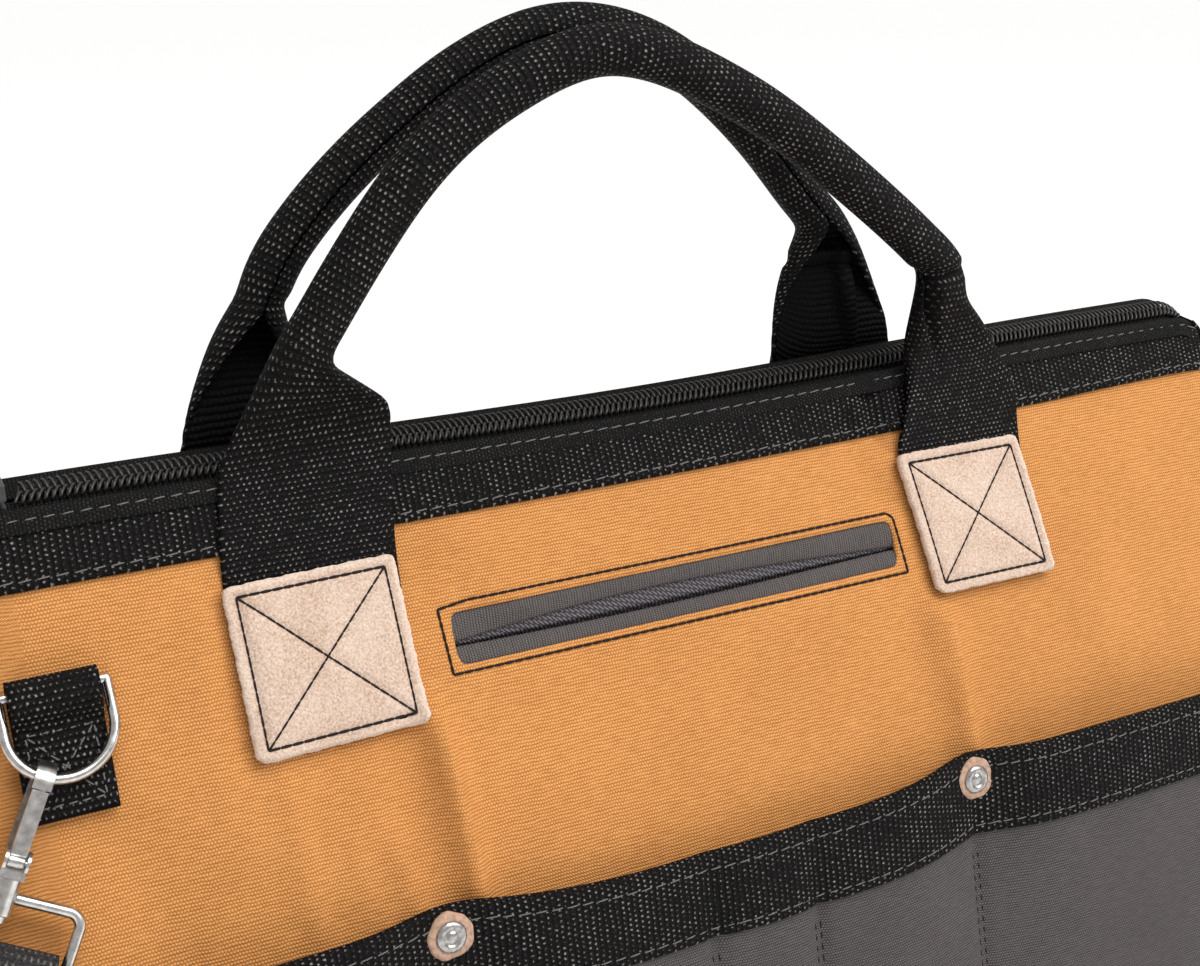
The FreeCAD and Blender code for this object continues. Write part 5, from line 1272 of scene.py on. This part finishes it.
for name, side in (("front", 1), ("back", -1)):
    heads, washers = [], []
    for x in (-RIVET_X - RIVET_SHIFT, RIVET_X - RIVET_SHIFT):
        seat = pocket_point(x, RIVET_DOWN, POCKET_CLOTH + 1.7 * MM, side)
        axis = unit(pocket_point(x, RIVET_DOWN, POCKET_CLOTH + 9 * MM, side) - seat)
        heads.append(turned(RIVET_PROFILE, seat, axis))
        washers.append(turned(WASHER_PROFILE, seat, axis, ragged=0.035))
    put_piece(name + "_rivet_heads", heads, aged_nickel, "bag", (name + "_rivets",))
    put_piece(name + "_leather_washers", washers, washer_leather, "bag",
              (name + "_rivet_washers",))

# %% [markdown]
# The shoulder strap is a flat length of webbing from one snap hook to the other: down from the front hook,
# round the bag's left end, along the floor behind it, and up to the hook at the back's far end. Flat webbing
# is modelled directly as a strip along a spline. Its two ends hang on hooks that swing on rings, so each
# end is cut into short pieces, by the loop, the hook, the ring and the bag in turn; the first rides on the
# loop.

# %% Shoulder strap
STRAP_WIDE = 38 * MM
STRAP_THICK = 2.4 * MM
STRAP_FINE = 1200
LOOK_AHEAD = 1 * MM
# directions along the front loop's lower bar, down the strap and out from the wall, then the bar's middle
strap_across = np.array([0.87462, -0.205591, -0.439059])
strap_down = np.array([-0.48481, -0.370896, -0.792083])
strap_out = np.array([0.0, -0.905632, 0.424066])
strap_bar = np.array([-226.028, -64.728, 175.94]) * MM
on_edge = np.array([0.0, 0, -1])
leaning = unit(strap_across + on_edge)
# the strap's middle line and the direction of its width, from the front loop to the floor behind the bag
strap_points = [strap_bar + strap_down * 3.1 * MM, strap_bar + strap_down * 26 * MM + strap_out * 14 * MM,
                np.array([-270, -97, 132]) * MM]
strap_widths = [strap_across, strap_across, leaning]
FLOOR_RUN = [(-288, -62, 104), (-292, -14, 74), (-286, 42, 46), (-264, 96, 27), (-216, 136, 20.5),
             (-120, 154, 20.5), (20, 159, 20.5), (140, 160, 22), (220, 154, 40), (268, 128, 82)]
strap_points += [np.array(p) * MM for p in FLOOR_RUN] + [p * half_turn for p in strap_points[::-1]]
strap_widths += [on_edge] * len(FLOOR_RUN) + [w * half_turn for w in strap_widths[::-1]]
strap_line = smooth_path(np.array(strap_points), STRAP_FINE)
strap_turn = unit(smooth_path(np.array(strap_widths), STRAP_FINE))
strap_length = running_length(strap_line)
STRAP_TOTAL = float(strap_length[-1])
# lengths from a hook at which the strap passes from the loop to the hook, to the ring, and to the bag
HAND_OVER = np.array([0, 12, 34, 62, 190]) * MM
strap_wide = np.linspace(-STRAP_WIDE / 2, STRAP_WIDE / 2, 15)


def strap_piece(name, start, end, step):
    """The strap between two lengths: its line moved sideways along its width, half a thickness proud."""
    at = np.linspace(start, end, max(int((end - start) / step), 4) + 1)
    line = at_lengths(at, strap_length, strap_line)
    wide = at_lengths(at, strap_length, strap_turn)
    ahead = (at_lengths(at + LOOK_AHEAD, strap_length, strap_line)
             - at_lengths(at - LOOK_AHEAD, strap_length, strap_line))
    wide = unit(wide - unit(ahead) * (wide * unit(ahead)).sum(-1, keepdims=True))
    proud = unit(np.cross(ahead, wide)) * STRAP_THICK / 2
    grid = line[:, None] + proud[:, None] + wide[:, None] * strap_wide[None, :, None]
    uv = stacked(strap_wide[None, :], at[:, None])
    piece = put_piece(name, [cloth(grid, uv, STRAP_THICK)], strap_webbing)
    return piece, [Vector(p) for p in (line[0], line[-1])]


middle_piece, _ = strap_piece("strap_middle", HAND_OVER[4], STRAP_TOTAL - HAND_OVER[4], 4 * MM)
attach(middle_piece, "bag")
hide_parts("shoulder_strap")
CHAIN = ("loop", "hook", "ring", "bag")
for name in ("front", "back"):
    bodies = [name + "_" + link if link != "bag" else "bag" for link in CHAIN]
    for k in range(4):
        near, far = HAND_OVER[k], HAND_OVER[k + 1]
        if name == "back":
            near, far = STRAP_TOTAL - far, STRAP_TOTAL - near
        piece, ends = strap_piece("%s_strap_at_%s" % (name, CHAIN[k]), near, far, 2 * MM)
        if name == "back":
            ends = ends[::-1]
        if k == 0:
            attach(piece, bodies[0])
        else:
            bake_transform(piece)

SLEEVE_TURN = math.radians(148)
sleeve_angle = np.linspace(-SLEEVE_TURN, SLEEVE_TURN, 41)
sleeve_along = np.linspace(-STRAP_WIDE / 2, STRAP_WIDE / 2, 13)
SLEEVE = 4.3 * MM
sleeve_round = (-strap_down * np.cos(sleeve_angle)[None, :, None]
                + strap_out * np.sin(sleeve_angle)[None, :, None])
sleeve_grid = strap_bar + strap_across * sleeve_along[:, None, None] + SLEEVE * sleeve_round
sleeve_uv = stacked(sleeve_along[:, None], SLEEVE * sleeve_angle[None, :])
for name, flip in (("front", np.array([1, 1, 1])), ("back", half_turn)):
    put_piece(name + "_strap_fold", [cloth(sleeve_grid * flip, sleeve_uv, STRAP_THICK)], strap_webbing,
              name + "_loop")
print("strap", round(STRAP_TOTAL / MM), "mm of webbing between its folds")

# %% [markdown]
# The metal stays as the solids have it, because rings, hooks and slider are hard and exact there. They get a
# nickel finish with faint wear in its gloss, and the slider a black enamel; a small bevel catches light
# along the edges of the slider, its pull tab and the hook gates. The solids' triangles are loose, so these
# are welded before the bevel.

# %% Metal parts
WELD_GAP, BEVEL_WIDTH, BEVEL_ANGLE = 0.005 * MM, 0.35 * MM, math.radians(40)
black_enamel = plain_material("black enamel", (0.018, 0.017, 0.017), 0.3, grain=2 * MM,
                              worn=(0.05, 0.048, 0.047))
base_card = plain_material("base card", (0.05, 0.048, 0.045), 0.8, grain=1.5 * MM, bump=0.1 * MM)
HARD_PARTS = ("d_ring", "snap_hook", "hook_gate", "strap_loop")
finishes = {side + "_" + part: nickel for side in ("front", "back") for part in HARD_PARTS}
finishes.update({"zipper_slider": black_enamel, "zipper_pull_tab": black_enamel, "base_board": base_card})
for node, finish in finishes.items():
    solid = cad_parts[node]
    solid.data.materials.clear()
    solid.data.materials.append(finish)
    if node.startswith("zipper") or node.endswith("gate"):
        weld = solid.modifiers.new("join triangles", "WELD")
        weld.merge_threshold = WELD_GAP
        bevel = solid.modifiers.new("soft edges", "BEVEL")
        bevel.width = BEVEL_WIDTH
        bevel.segments = 2
        bevel.limit_method = "ANGLE"
        bevel.angle_limit = BEVEL_ANGLE
print(len(finishes), "solids finished")

# %% [markdown]
# All stitches of one thread are one mesh, which costs less than an object for each. Thread is twisted, so its
# material has fine slanted lines, worked out from the stitch's own map.

# %% Thread
TWIST_PITCH = 0.7 * MM


def thread_material(name, dark, light):
    """Twisted thread: fine slanted bands of shade from the stitch's own map."""
    material, tree, shader = new_material(name)
    along, across = cloth_axes(tree)
    slanted = sums(tree, "ADD", along, across)
    twist = sums(tree, "SINE", sums(tree, "MULTIPLY", slanted, 2 * math.pi / TWIST_PITCH))
    twist = sums(tree, "MULTIPLY_ADD", twist, 0.5, 0.5)
    tree.links.new(tinted(tree, twist, (0.1, dark), (0.9, light)), shader.inputs["Base Color"])
    shader.inputs["Roughness"].default_value = 0.8
    shader.inputs["Specular IOR Level"].default_value = 0.15
    raised(tree, shader, twist, 0.08 * MM)
    return material


THREADS = {"grey": ((0.1, 0.095, 0.09), (0.24, 0.225, 0.215)),
           "black": ((0.012, 0.008, 0.0075), (0.032, 0.022, 0.02))}
for colour, parts in thread_parts.items():
    put_piece(colour + "_stitches", parts, thread_material(colour + " thread", *THREADS[colour]), "bag")

# %% [markdown]
# The studio is a wide pale floor under soft light: an even grey-white sky for the whole, a high sun with a
# wide soft edge for shape and the shadow on the floor, and one square lamp at the upper right for gloss.

# %% Floor and light
FLOOR_HALF, FLOOR_LOW = 6.0, -0.3 * MM
SKY_STRENGTH, LAMP_POWER, LAMP_SIZE, SUN_POWER = 0.5, 9, 0.9, 2.05
SUN_EDGE = math.radians(40)
LAMP_AIM = Vector((0, 0, 0.15))
floor_mesh = bpy.data.meshes.new("studio_floor")
floor_signs = ((-1, -1), (1, -1), (1, 1), (-1, 1))
floor_points = [(x * FLOOR_HALF, y * FLOOR_HALF, FLOOR_LOW) for x, y in floor_signs]
floor_mesh.from_pydata(floor_points, [], [(0, 1, 2, 3)])
floor = bpy.data.objects.new("studio_floor", floor_mesh)
bpy.context.collection.objects.link(floor)
floor_finish, _, floor_shader = new_material("pale floor")
floor_shader.inputs["Base Color"].default_value = (0.95, 0.95, 0.95, 1)
floor_shader.inputs["Roughness"].default_value = 0.7
floor_mesh.materials.append(floor_finish)

scene = bpy.context.scene
scene.view_settings.view_transform = "Standard"
scene.world = bpy.data.worlds.new("soft sky")
scene.world.use_nodes = True
sky = scene.world.node_tree.nodes["Background"]
sky.inputs["Color"].default_value = (1, 0.99, 0.98, 1)
sky.inputs["Strength"].default_value = SKY_STRENGTH


def soft_lamp(name, place, power, size):
    """A square lamp that faces the middle of the bag."""
    data = bpy.data.lights.new(name, "AREA")
    data.energy = power
    data.size = size
    lamp = bpy.data.objects.new(name, data)
    lamp.location = place
    lamp.rotation_euler = (Vector(place) - LAMP_AIM).to_track_quat("Z", "Y").to_euler()
    bpy.context.collection.objects.link(lamp)


soft_lamp("upper right lamp", (0.95, -0.95, 1.25), LAMP_POWER, LAMP_SIZE)
sun_data = bpy.data.lights.new("high sun", "SUN")
sun_data.energy = SUN_POWER
sun_data.angle = SUN_EDGE
sun = bpy.data.objects.new("high sun", sun_data)
sun.rotation_euler = Vector((0.3, -0.36, 1.0)).to_track_quat("Z", "Y").to_euler()
bpy.context.collection.objects.link(sun)
